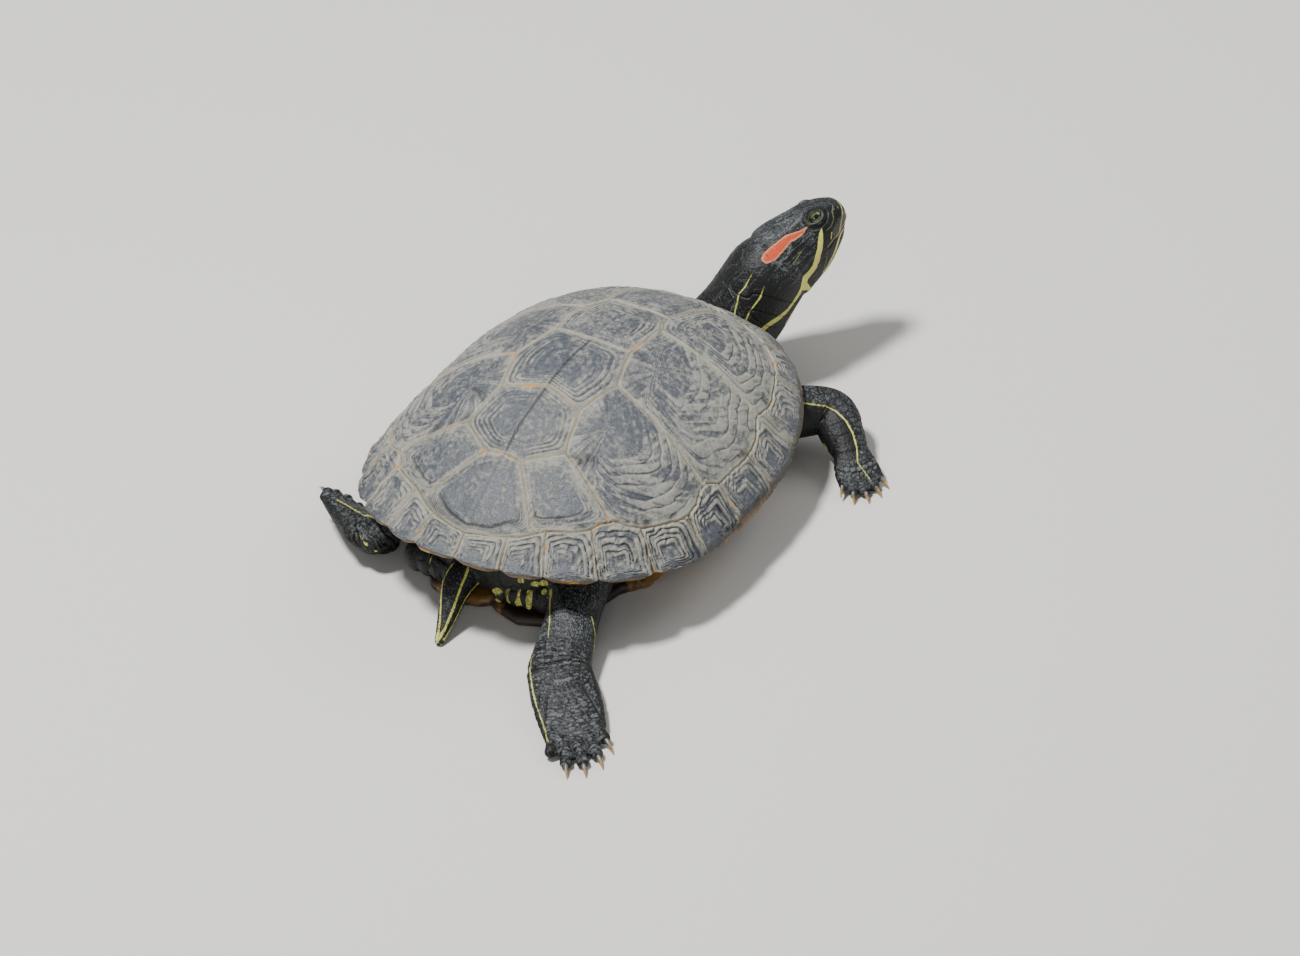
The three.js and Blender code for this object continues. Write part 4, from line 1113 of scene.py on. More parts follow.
def headSkin():
    stations = neckStations + [(tuple(fromHead((-38, 0, -8.3))), 21, 23.6)]
    neck = rodShape(stations, (0, 1, 0), around=90)
    points, faces = remeshed([headShape(), neck], detail["headVoxel"])
    points = relaxed(points, faces, detail["headRounds"])
    points, faces = keptFaces(points, faces, points[:, 0] > head["skinFrom"])
    # the neck runs into the skull without a step
    joint = relaxed(points, faces, detail["jointRounds"])
    nearJoint = (ease(-26, -31, toHead(points)[:, 0]) * ease(-50, -44, toHead(points)[:, 0]))[:, None]
    points = points + nearJoint * (joint - points)
    local = toHead(points)
    folded = np.hstack([local[:, :1], np.abs(local[:, 1:2]), local[:, 2:]])
    nearEye = np.linalg.norm(folded - eye["centre"], axis=1) < 9
    points, faces = refined(points, faces, nearEye | (local[:, 0] > 9))
    local = toHead(points)
    x, y, z = local.T
    normals = vertexNormals(points, faces)
    neckness = ease(-24, -42, x)
    relief, creaseShade, tops = skinDetail(points, normals, alongPath(points, stations), "neck")
    faceRelief, faceCreaseShade = headDetail(local)
    bead, gap, mark = cellNoise(local, skinLook["scales"]["face"], 131)
    grain = ease(0, 0.22, gap - bead)
    onTop = ease(2, 6, z - curveThrough(head["roof"], x) + 7)
    plateCell, plateGap, _ = cellNoise(local * (0.8, 1, 1), skinLook["scales"]["crown"], 135)
    plateEdge = bell(plateGap - plateCell, 0.05) * onTop * ease(-30, -18, x)
    # fine pale wrinkles, their paleness partly painted highlight: along the cheek and the crown, and up and
    # down in front of the eye
    around = np.arctan2(z + 8, np.abs(y)) * 15
    along = x + 0.25 * around
    line = np.maximum(wrinkles(along, around, 12, 1.3, 137), 0.8 * wrinkles(along, around, 7, 0.9, 139))
    line = line * ease(0, -8, x) * (1 - 0.6 * onTop)
    line = np.maximum(line, wrinkles(z, x, 6, 1.0, 141) * ease(1, 6, x) * (1 - onTop))
    line = np.maximum(line, 0.9 * wrinkles(along + 3, around + 9, 5, 0.8, 143) * ease(-3, -9, x))
    faceGrain = 0.05 * grain + skinLook["heights"]["wrinkles"] * line - 0.16 * plateEdge
    height = (1 - neckness) * (faceRelief + faceGrain) + neckness * relief
    marks = markDistances(local, normals @ headFrame.T)
    fromFold = marks.pop("folds")
    height = height - head["foldDepth"] * bell(fromFold, 0.5) + head["foldLip"] * bell(fromFold - 0.8, 0.45)
    points = points + normals * height[:, None]
    opened, rim, socket = openEyes(toHead(points))
    aboveMouth = opened[:, 2] - mouthHeight(opened[:, 0])
    up = ease(-0.1, 0.8, normals[:, 2])
    # partly dust, partly painted sheen: the crown and what faces up are greyed, and the wrinkles brightened
    # most where they face up
    paleDustAndSheen = (0.06 + 0.2 * onTop + 0.1 * mark) * up + 0.95 * line * (0.42 + 0.58 * up)
    values = {
        **marks,
        # painted shade: darker in the mouth line, the nostrils and the creases, round the lids and the
        # socket, and along the folds
        "creaseShade": np.maximum.reduce([
            (1 - neckness) * np.maximum(faceCreaseShade, 0.5 * plateEdge) + neckness * creaseShade,
            0.8 * bell(rim - 1.36, 0.07), bell(socket - 1, 0.06), 0.35 * bell(fromFold, 0.4)]),
        # pale tops: dust, and painted sheen on the crown, on the neck's upper side and on the wrinkles
        "tops": np.maximum.reduce([
            (1 - neckness) * paleDustAndSheen + neckness * tops * (0.5 + 0.5 * up),
            0.75 * bell(socket - 1.16, 0.06), 0.6 * bell(fromFold - 0.7, 0.22)]),
        "rim": rim, "aboveMouth": np.where(x > head["mouth"][1][0] - 0.5, aboveMouth, 99),
    }
    report("head and neck: lids, mouth, folds and stripes")
    return fromHead(opened), faces, values


def bodySkin(front, shapes, paths):
    # one end of the body with its limbs
    points, faces = remeshed(shapes, detail["bodyVoxel"])
    points = relaxed(points, faces, detail["bodyRounds"])
    frontMost, rearMost = trunk["skinBeyond"]
    points, faces = keptFaces(points, faces, points[:, 0] > frontMost if front else points[:, 0] < rearMost)
    normals = vertexNormals(points, faces)
    reach, whole = skinLook["limbReach"]
    best = np.full(len(points), reach)
    flat = {"s": points[:, 0], "turn": points[:, 1], "radius": 1}
    relief, creaseShade, tops = skinDetail(points, normals, flat, "body")
    for name, path, kind in paths:
        found = alongPath(points, path)
        nearer = found["away"] < best
        found["plated"] = platedSide(points, normals, name)
        details = skinDetail(points, normals, found, kind)
        blend = ease(reach, whole, found["away"])
        best = np.where(nearer, found["away"], best)
        relief, creaseShade, tops = (np.where(nearer, a * (1 - blend) + b * blend, a)
                                for a, b in zip((relief, creaseShade, tops), details))
        if name in limbs:
            footRelief, footCreaseShade, footTops, weight = footDetail(points, limbs[name])
            details = (footRelief, footCreaseShade, footTops * facingUp(normals))
            weight = weight * nearer
            relief, creaseShade, tops = (a * (1 - weight) + b * weight
                                    for a, b in zip((relief, creaseShade, tops), details))
    points = points + normals * relief[:, None]
    lines = (*bodyMarks, *foreLines.values())
    values = {"yellow": np.min([lineDistance(points, normals, line) for line in lines], 0), "green": 99,
              "red": 99, "creaseShade": creaseShade, "tops": tops, "rim": 9, "aboveMouth": 99}
    report(f"{'front' if front else 'rear'} of the body: limbs and scales")
    return points, faces, values


def skinMesh():
    # a sleeve closes the shell's front round the neck, and soft folds fill its rear between the legs
    sleeve = rodShape(neckSleeve, (0, 1, 0), 60, capLength=6)
    tail = rodShape(tailStations, (0, 1, 0), 40, step=0.7)
    folds = [rodShape([((-66, y, 18), 9, 10), ((-90 + 0.1 * abs(y - 6), y, 15), 7.5, 9.5)], (0, 1, 0), 40)
             for y in rearFolds]
    ends = []
    for kind, between, path in (("fore", [sleeve], ("neck", innerNeck, "neck")),
                                ("hind", [tail, *folds], ("tail", tailStations, "tail"))):
        names = [f"{kind}_{side}" for side in ("right", "left")]
        shapes = [trunkShape(kind == "fore"), *between]
        for name in names:
            shapes += limbShapes(limbs[name])
        paths = [path] + [(name, footPath(limbs[name]), kind) for name in names]
        ends.append(bodySkin(kind == "fore", shapes, paths))
    sets = [headSkin(), *ends]
    starts = np.cumsum([0] + [len(part[0]) for part in sets])
    points = np.concatenate([part[0] for part in sets])
    points[:, 2] = np.maximum(points[:, 2], 0.08)
    values = {key: np.concatenate([np.broadcast_to(part[2][key], len(part[0])) for part in sets])
              for key in sets[0][2]}
    for key in ("yellow", "green", "red"):
        values[key] = np.clip(values[key], -4, 4)
    values["aboveMouth"] = np.clip(values["aboveMouth"], -40, 40)
    faces = [part[1] + start for part, start in zip(sets, starts)]
    return makeMesh("skin", points, faces, values)


def eyeMesh(side):
    rows, around = 70, 96
    theta = (np.linspace(0.0001, 1, rows) ** 1.4 * math.pi)[:, None]
    phi = np.linspace(0, 2 * math.pi, around, endpoint=False)[None]
    axis = unit(np.array(eye["gaze"]) * (1, side, 1))
    ahead = unit(np.array([1, 0, -0.05]) - axis[0] * axis)
    upward = np.cross(ahead, axis)
    upward = upward * np.sign(upward[2])
    radius = eye["radius"] + eye["cornea"] * bell(theta / 0.6, 1)
    radius = radius - eye["backFlattened"] * ease(1.2, 1.6, theta)
    parts = [axis * np.cos(t) + (ahead * np.cos(p) + upward * np.sin(p)) * np.sin(t)
             for t in theta[:, 0] for p in phi[0]]
    local = np.array(parts) * np.repeat(radius[:, 0], around)[:, None]
    flat = np.repeat(np.sin(np.minimum(theta, 1.5707))[:, 0], around) * eye["radius"]
    values = {"fromPupil": flat, "fromBar": np.abs(flat * np.sin(np.tile(phi[0], rows)))}
    return makeMesh("eye", fromHead(local + np.array(eye["centre"]) * (1, side, 1)),
                    [gridFaces(rows, around, closed=True)], values)


beak = {"centreX": 5.4, "top": -7.2, "halfAngle": 112, "reach": 8.5, "overlap": 0.35, "scoop": 2.4,
        "sunk": 0.25, "thickness": 0.55, "lip": 0.3}


def beakMesh(skinPoints, skinFaces):
    # a horny sheath over the front of the upper jaw, laid on the skin by rays from inside the head
    tree = BVHTree.FromPolygons([Vector(p) for p in toHead(skinPoints)], skinFaces.tolist())
    columns, rows = detail["beak"]
    angles = np.linspace(-1, 1, columns) * math.radians(beak["halfAngle"])
    points, facing, edges = [], [], []
    for i in range(rows):
        up = i / (rows - 1)
        for j, angle in enumerate(angles):
            heading = Vector((math.cos(angle), math.sin(angle), 0))
            low = mouthHeight(beak["centreX"] + beak["reach"] * math.cos(angle)) - beak["overlap"]
            high = beak["top"] - beak["scoop"] * (1 - math.cos(angle))
            start = Vector((beak["centreX"], 0, low + (high - low) * up))
            place = tree.ray_cast(start, heading)[0]
            if place is None:
                place = start + heading * 6
            fromEdge = min(up, 1 - up, j / (columns - 1) * 3, 3 - 3 * j / (columns - 1))
            lift = beak["thickness"] * min(fromEdge / 0.1, 1) ** 0.6 - beak["sunk"]
            lift += beak["lip"] * (1 - up) ** 3
            points.append(place + heading * lift)
            facing.append(heading)
            edges.append((high - low) * up)
    points, facing = np.array(points), np.array(facing)
    marks = markDistances(points, facing)
    values = {"lip": np.array(edges), "yellow": marks["yellow"], "green": marks["green"]}
    return makeMesh("beak", fromHead(points), [gridFaces(rows, columns)], values)


claw = {"rooted": 2.5, "droop": 1.5, "lowestTip": 0.6, "arch": (0.2, 0.9, 0.3),
        "halfSizes": ((1.5, 1.75), (1.4, 1.6), (1.15, 1.35), (0.75, 0.9), (0.28, 0.34))}


def clawMesh(limb):
    # curved, flattened cones, one for each clawed toe
    points, faces, tips = [], [], []
    near, mid, far = (np.array((0, 0, rise)) for rise in claw["arch"])
    for toeEnd, direction in toeRays(limb)[:limb["claws"]]:
        base = toeEnd - claw["rooted"] * direction
        tip = base + direction * limb["clawLength"]
        tip[2] = max(tip[2] - claw["droop"], claw["lowestTip"])
        middle = (base + tip) / 2 + mid
        places = (base, (base + middle) / 2 + near, middle, (middle + tip) / 2 + far, tip)
        stations = [(place, *halves) for place, halves in zip(places, claw["halfSizes"])]
        shape, quads = rodShape(stations, unit(np.cross(direction, (0, 0, 1))), around=28, step=0.25)
        faces.append(quads + sum(len(p) for p in points))
        points.append(shape)
        tips.append(np.clip((shape - base) @ direction / limb["clawLength"], 0, 1))
    points = np.concatenate(points)
    points[:, 2] = np.maximum(points[:, 2], 0.05)
    return makeMesh("claws", points, faces, {"along": np.concatenate(tips)})


plastron = {
    "seams": (((88, 0), (101, 30)), ((64, 0), (72, 52)), ((30, 0), (30, 54)), ((30, 54), (34, 90)),
              ((-10, 0), (-12, 56)), ((-12, 56), (-6, 92)), ((-46, 0), (-52, 56)), ((-72, 0), (-80, 50)),
              ((110, 0), (-100, 0)), ((58, 58), (-48, 60))),
    "seamDepth": 0.35, "seamWidth": 0.6, "ringDepth": 0.05, "ringSpacing": 2.1, "waves": 0.12, "waveSize": 14,
}


def plastronMesh():
    source, triangles = meshArrays(frame["nodes"]["plastron"].data)
    merged, inverse = np.unique(source.round(4), axis=0, return_inverse=True)
    points, faces = remeshed([(merged, inverse.ravel()[triangles])], detail["plastronVoxel"])
    points = relaxed(points, faces, detail["plastronRounds"])
    normals = vertexNormals(points, faces)
    x, y = points[:, 0], np.abs(points[:, 1])
    wobble = 0.5 * softNoise(points, 9, 141)
    seam = distanceToLines(x + wobble, y + wobble, 0 * x, 0 * y, plastron["seams"])
    growth = np.abs(np.sin(seam * math.pi / plastron["ringSpacing"])) ** 6 * ease(9, 2, seam)
    relief = -plastron["seamDepth"] * bell(seam, plastron["seamWidth"]) - plastron["ringDepth"] * growth
    relief += plastron["waves"] * layeredNoise(points, plastron["waveSize"], 143)
    points = points + normals * relief[:, None]
    points[:, 2] = np.maximum(points[:, 2], 0.0)
    return makeMesh("plastron", points, [faces], {"seam": seam, "blotch": ease(60, 88, y)})


# the carapace's finish: dark and pale tones, pattern sizes in mm, and where the film starts and is whole.
# Dried silt is finer than 0.2 mm, too fine to show, so its grit is drawn at 0.8 mm.
scuteFinish = {
    # the groove tone is painted shade, laid in the grooves of the growth rings
    "slate": ("#2a2e34", "#5a5f67"), "silt": ("#6d6c65", "#a2a198"), "groove": "#28292c",
    "seamSilt": "#a39c88", "seam": "#4a4030", "amber": "#b98a47", "edge": "#3a352c",
    "turnedEdge": ("#6b4f2a", "#b3852f"), "underside": ("#8d6527", "#271f16"), "undersideSeam": "#2c2217",
    "clouds": 11, "flakes": 2.3, "grit": 0.8, "broad": 60, "film": (0.89, 1.97), "roughness": (0.42, 0.8),
}


def siltedScute():
    # horny scutes under a dry, flaking film of silt: matt and dusty where it lies, satin slate where it's off
    look = scuteFinish
    material, tree, shader = newMaterial("siltedScuteHorn", Roughness=0.62, IOR=1.54)
    where = addNode(tree, "TexCoord", out="Object")
    fields = {key: addNode(tree, "Attribute", out="Fac", attribute_name=key)
              for key in ("rowSeam", "marginSeam", "ring", "groove", "streak", "step", "silt", "rim", "under",
                          "onMargin")}
    seam = addNode(tree, "Math", {0: fields["rowSeam"], 1: fields["marginSeam"]}, operation="MINIMUM")
    cloud, flakes, grit, broad, patch = (
        addNode(tree, "TexNoise", {"Vector": where, "Scale": perSize(look[size]), **settings})
        for size, settings in (("clouds", {"Detail": 5, "Roughness": 0.6, "Distortion": 0.7}),
                               ("flakes", {"Detail": 4, "Roughness": 0.65}),
                               ("grit", {"Detail": 3, "Roughness": 0.6}),
                               ("broad", {"Detail": 2}), ("clouds", {"Detail": 3})))
    slate = addNode(tree, "Mix", {0: flakes, 6: look["slate"][0], 7: look["slate"][1]}, **mixColours)
    silt = addNode(tree, "Mix", {0: flakes, 6: look["silt"][0], 7: look["silt"][1]}, **mixColours)
    # the film lies thickest by the seams and on the rings, and wears off the marginals and round the rim;
    # each row is what changes it, where that starts and ends, and how much film it adds
    film = addNode(tree, "Math", {0: cloud, 1: 1.1}, operation="MULTIPLY")
    for source, low, high, amount in (
            (seam, 8, 0.5, 0.26), (fields["streak"], -0.5, 0.6, 0.6), (broad, 0.32, 0.68, 0.34),
            (flakes, 0.36, 0.64, 0.36), (grit, 0.36, 0.64, 0.26), (fields["onMargin"], 0, 1, -0.1),
            (fields["rim"], 9, 0, -0.28), (fields["ring"], 0.1, 0.8, 0.6), (fields["step"], 0, 1, -0.14)):
        part = addNode(tree, "MapRange", {"Value": source, "From Min": low, "From Max": high,
                                          "To Max": amount}, **smoothly)
        film = addNode(tree, "Math", {0: film, 1: part}, operation="ADD")
    film = addNode(tree, "Math", {0: film, 1: fields["silt"]}, operation="ADD")
    film = addNode(tree, "MapRange", {"Value": film, "From Min": look["film"][0],
                                      "From Max": look["film"][1]}, **smoothly)
    body = addNode(tree, "Mix", {0: film, 6: slate, 7: silt}, **mixColours)
    # painted shade: the grooves between the growth rings, round the first plate and along the keel darken to
    # bare slate
    groove = addNode(tree, "MapRange", {"Value": fields["groove"], "From Min": 0.15, "From Max": 0.9,
                                        "To Max": 0.84})
    body = addNode(tree, "Mix", {0: groove, 6: body, 7: look["groove"]}, **mixColours)
    band = addNode(tree, "MapRange", {"Value": seam, "From Min": 2.1, "From Max": 0.7, "To Max": 0.65},
                   **smoothly)
    body = addNode(tree, "Mix", {0: band, 6: body, 7: look["seamSilt"]}, **mixColours)
    broken = addNode(tree, "MapRange", {"Value": cloud, "From Min": 0.4, "From Max": 0.6, "To Min": 0.3,
                                        "To Max": 0.8})
    line = addNode(tree, "MapRange", {"Value": seam, "From Min": 0.38, "From Max": 0.12, "To Max": broken},
                   **smoothly)
    body = addNode(tree, "Mix", {0: line, 6: body, 7: look["seam"]}, **mixColours)
    # old orange horn shows in short runs beside the seams
    patch = addNode(tree, "MapRange", {"Value": patch, "From Min": 0.6, "From Max": 0.66})
    beside = addNode(tree, "MapRange", {"Value": seam, "From Min": 1.2, "From Max": 0.7})
    amber = addNode(tree, "Math", {0: patch, 1: beside}, operation="MULTIPLY")
    body = addNode(tree, "Mix", {0: amber, 6: body, 7: look["amber"]}, **mixColours)
    # the round edge is dark, with a thin amber line where it turns under
    edge = addNode(tree, "MapRange", {"Value": fields["rim"], "From Min": 2.2, "From Max": 0.7,
                                      "To Max": 0.75}, **smoothly)
    body = addNode(tree, "Mix", {0: edge, 6: body, 7: look["edge"]}, **mixColours)
    turned = addNode(tree, "MapRange", {"Value": fields["rim"], "From Min": 0.45, "From Max": 0.2,
                                        "To Max": 0.9})
    turnedEdge = addNode(tree, "Mix", {0: patch, 6: look["turnedEdge"][0], 7: look["turnedEdge"][1]},
                         **mixColours)
    body = addNode(tree, "Mix", {0: turned, 6: body, 7: turnedEdge}, **mixColours)
    # undersides of the marginals: amber with a dark blotch on each
    blotch = addNode(tree, "MapRange", {"Value": cloud, "From Min": 0.36, "From Max": 0.46})
    below = addNode(tree, "Mix", {0: blotch, 6: look["underside"][0], 7: look["underside"][1]}, **mixColours)
    below = addNode(tree, "Mix", {0: line, 6: below, 7: look["undersideSeam"]}, **mixColours)
    byEdge = addNode(tree, "MapRange", {"Value": fields["rim"], "From Min": 2.2, "From Max": 1.2})
    below = addNode(tree, "Mix", {0: byEdge, 6: below, 7: turnedEdge}, **mixColours)
    body = addNode(tree, "Mix", {0: fields["under"], 6: body, 7: below}, **mixColours)
    rough = addNode(tree, "MapRange", {"Value": film, "To Min": look["roughness"][0],
                                       "To Max": look["roughness"][1]})
    height = addNode(tree, "Math", {0: flakes, 1: grit}, operation="ADD")
    height = addNode(tree, "Math", {0: height, 1: film}, operation="ADD")
    joinFinish(tree, shader, body, rough, height, strength=0.8, depth=0.3)
    return material


# the fibres of horn are too fine to show, so the grain of the plastron, claws and beak is drawn at 1 to 2 mm
plastronFinish = {"amber": ("#6b4c22", "#9a7136"), "blotch": "#2e2216", "bridge": "#2c2318",
                  "seam": "#2a1d12", "blotches": 22, "grain": 2}


def plastronHorn():
    # smooth worn horn: amber and ochre with dark, soft-edged blotches, a satin sheen
    look = plastronFinish
    material, tree, shader = newMaterial("plastronHorn", Roughness=0.42, IOR=1.54)
    where = addNode(tree, "TexCoord", out="Object")
    seam = addNode(tree, "Attribute", out="Fac", attribute_name="seam")
    blotch = addNode(tree, "Attribute", out="Fac", attribute_name="blotch")
    soft = addNode(tree, "TexNoise", {"Vector": where, "Scale": perSize(look["blotches"]), "Detail": 4,
                                      "Distortion": 0.8})
    grain = addNode(tree, "TexNoise", {"Vector": where, "Scale": perSize(look["grain"]), "Detail": 4})
    body = addNode(tree, "Mix", {0: grain, 6: look["amber"][0], 7: look["amber"][1]}, **mixColours)
    dark = addNode(tree, "MapRange", {"Value": soft, "From Min": 0.47, "From Max": 0.56}, **smoothly)
    side = addNode(tree, "Math", {0: blotch, 1: soft}, operation="MULTIPLY")
    side = addNode(tree, "MapRange", {"Value": side, "From Min": 0.3, "From Max": 0.6, "To Max": 0.7})
    line = addNode(tree, "MapRange", {"Value": seam, "From Min": 0.7, "From Max": 0.2, "To Max": 0.8})
    for mask, tint in ((dark, "blotch"), (side, "bridge"), (line, "seam")):
        body = addNode(tree, "Mix", {0: mask, 6: body, 7: look[tint]}, **mixColours)
    joinFinish(tree, shader, body, height=grain, strength=0.35)
    return material


# the skin's granules are about 0.6 mm and its pores finer: too fine to show, so they are drawn at 1.4 and 0.8
skinFinish = {
    # the crease tone is painted shade
    # the dust tones also paint the sheen on the head's crown and on the wrinkles of head and neck
    "base": ("#060706", "#131614"), "dustAndSheen": ("#43474a", "#7b8083"), "creaseShade": "#060706",
    "green": ("#57603a", "#6f7a45"), "yellow": ("#c4c34f", "#efed84"), "red": ("#c98560", "#c24a28"),
    "lip": "#75634a", "lidEdge": "#5f6344", "mottle": 4, "fine": 0.8, "beads": 1.4, "roughness": (0.52, 0.74),
}


def turtleSkin():
    # leathery scaled skin: near black with a wet sheen, greyed and matt where dry dust lies on the scale
    # tops, and greyed as painted sheen on the head's crown and on the wrinkles of head and neck
    look = skinFinish
    material, tree, shader = newMaterial("leatherySkin", Roughness=0.5, IOR=1.4)
    where = addNode(tree, "TexCoord", out="Object")
    fields = {key: addNode(tree, "Attribute", out="Fac", attribute_name=key)
              for key in ("yellow", "green", "red", "creaseShade", "tops", "rim", "aboveMouth")}
    mottle = addNode(tree, "TexNoise", {"Vector": where, "Scale": perSize(look["mottle"]), "Detail": 4,
                                        "Roughness": 0.6})
    fine = addNode(tree, "TexNoise", {"Vector": where, "Scale": perSize(look["fine"]), "Detail": 3})
    base = addNode(tree, "Mix", {0: mottle, 6: look["base"][0], 7: look["base"][1]}, **mixColours)
    paleDustAndSheen = addNode(tree, "Mix", {0: fine, 6: look["dustAndSheen"][0], 7: look["dustAndSheen"][1]}, **mixColours)
    # the smallest scales are beads with a net of dark lines between them, painted shade kept free of dust,
    # which the brightest wrinkles cross
    beads, net = (addNode(tree, "TexVoronoi", {"Vector": where, "Scale": perSize(look["beads"])},
                          out="Distance", feature=feature) for feature in ("F1", "DISTANCE_TO_EDGE"))
    net = addNode(tree, "MapRange", {"Value": net, "From Min": 0.03, "From Max": 0.16, "To Min": 0.3})
    bright = addNode(tree, "Math", {0: fields["tops"], 1: fields["tops"]}, operation="MULTIPLY")
    net = addNode(tree, "Math", {0: net, 1: bright}, operation="MAXIMUM")
    # dust, and on the head and neck painted sheen, on the scale tops
    dustAndSheen = addNode(tree, "Math", {0: fields["tops"], 1: mottle}, operation="MULTIPLY")
    dustAndSheen = addNode(tree, "Math", {0: dustAndSheen, 1: net}, operation="MULTIPLY")
    dustAndSheen = addNode(tree, "MapRange", {"Value": dustAndSheen, "From Min": 0.05, "From Max": 0.34, "To Max": 0.88})
    body = addNode(tree, "Mix", {0: dustAndSheen, 6: base, 7: paleDustAndSheen}, **mixColours)
    # the stripes' edges waver with the fine grain
    wander = addNode(tree, "MapRange", {"Value": fine, "To Min": -0.2, "To Max": 0.2})
    for key, soft in (("green", 0.15), ("yellow", 0.16)):
        place = addNode(tree, "Math", {0: fields[key], 1: wander}, operation="ADD")
        mask = addNode(tree, "MapRange", {"Value": place, "From Min": soft, "From Max": -soft,
                                          "To Max": 0.95})
        tint = addNode(tree, "Mix", {0: mottle, 6: look[key][0], 7: look[key][1]}, **mixColours)
        body = addNode(tree, "Mix", {0: mask, 6: body, 7: tint}, **mixColours)
    place = addNode(tree, "Math", {0: fields["red"], 1: wander}, operation="ADD")
    mask = addNode(tree, "MapRange", {"Value": place, "From Min": 0.15, "From Max": -0.15})
    core = addNode(tree, "MapRange", {"Value": place, "From Min": -0.2, "From Max": -1.1}, **smoothly)
    stripe = addNode(tree, "Mix", {0: core, 6: look["red"][0], 7: look["red"][1]}, **mixColours)
    body = addNode(tree, "Mix", {0: mask, 6: body, 7: stripe}, **mixColours)
    # the bare horn along the upper lip, the lids' thin pale edge, and painted shade in the creases
    lip = addNode(tree, "Math", {0: fields["aboveMouth"], 1: 0.85}, operation="SUBTRACT")
    lip = addNode(tree, "Math", {0: lip}, operation="ABSOLUTE")
    lip = addNode(tree, "MapRange", {"Value": lip, "From Min": 0.75, "From Max": 0.45, "To Max": 0.9})
    lidEdge = addNode(tree, "MapRange", {"Value": fields["rim"], "From Min": 1.16, "From Max": 1.08,
                                         "To Max": 0.4})
    deep = addNode(tree, "MapRange", {"Value": fields["creaseShade"], "To Max": 0.8})
    for mask, tint in ((lip, "lip"), (lidEdge, "lidEdge"), (deep, "creaseShade")):
        body = addNode(tree, "Mix", {0: mask, 6: body, 7: look[tint]}, **mixColours)
    rough = addNode(tree, "MapRange", {"Value": dustAndSheen, "To Min": look["roughness"][0],
                                       "To Max": look["roughness"][1]})
    height = addNode(tree, "Math", {0: beads, 1: fine}, operation="SUBTRACT")
    joinFinish(tree, shader, body, rough, height, strength=0.8, depth=0.25)
    return material


clawFinish = {"grey": ("#3b3c38", "#6f6d60"), "amber": ("#8f6a22", "#c39a44"), "grain": 1.2}


def clawHorn():
    # grey horn that thins to translucent amber at the point, worn smooth
    look = clawFinish
    material, tree, shader = newMaterial("clawHorn", Roughness=0.32, IOR=1.54)
    where = addNode(tree, "TexCoord", out="Object")
    along = addNode(tree, "Attribute", out="Fac", attribute_name="along")
    grain = addNode(tree, "TexNoise", {"Vector": where, "Scale": perSize(look["grain"]), "Detail": 4})
    place = addNode(tree, "Math", {0: along, 1: grain}, operation="ADD")
    tip = addNode(tree, "MapRange", {"Value": place, "From Min": 1.05, "From Max": 1.4}, **smoothly)
    grey = addNode(tree, "Mix", {0: grain, 6: look["grey"][0], 7: look["grey"][1]}, **mixColours)
    amber = addNode(tree, "Mix", {0: grain, 6: look["amber"][0], 7: look["amber"][1]}, **mixColours)
    body = addNode(tree, "Mix", {0: tip, 6: grey, 7: amber}, **mixColours)
    joinFinish(tree, shader, body, height=grain)
    return material


beakFinish = {"base": ("#15170f", "#34372a"), "green": "#667046", "yellow": "#a8a85c", "worn": "#7f6c4e",
              "grain": 1.6}


def beakHorn():
    # thin horn over the jaw: nearly black with the head's fine yellow lines, worn tan at its cutting edge
    look = beakFinish
    material, tree, shader = newMaterial("beakHorn", Roughness=0.34, IOR=1.54)
    where = addNode(tree, "TexCoord", out="Object")
    lip = addNode(tree, "Attribute", out="Fac", attribute_name="lip")
    grain = addNode(tree, "TexNoise", {"Vector": where, "Scale": perSize(look["grain"]), "Detail": 4})
    body = addNode(tree, "Mix", {0: grain, 6: look["base"][0], 7: look["base"][1]}, **mixColours)
    for key in ("green", "yellow"):
        away = addNode(tree, "Attribute", out="Fac", attribute_name=key)
        mask = addNode(tree, "MapRange", {"Value": away, "From Min": 0.15, "From Max": -0.1, "To Max": 0.9})
        body = addNode(tree, "Mix", {0: mask, 6: body, 7: look[key]}, **mixColours)
    worn = addNode(tree, "Math", {0: lip, 1: grain}, operation="ADD")
    edge = addNode(tree, "MapRange", {"Value": worn, "From Min": 2.1, "From Max": 1.5, "To Max": 0.9})
    body = addNode(tree, "Mix", {0: edge, 6: body, 7: look["worn"]}, **mixColours)
    joinFinish(tree, shader, body, height=grain)
    return material


eyeFinish = {"iris": ("#141f12", "#5a7a3c"), "edge": "#0a0b08", "bar": "#0d0e0a", "pupil": "#020202",
             "fibres": 0.7, "irisEdge": (2.3, 2.8), "barEdge": (1.5, 1.2), "pupilEdge": (1.15, 1.05)}


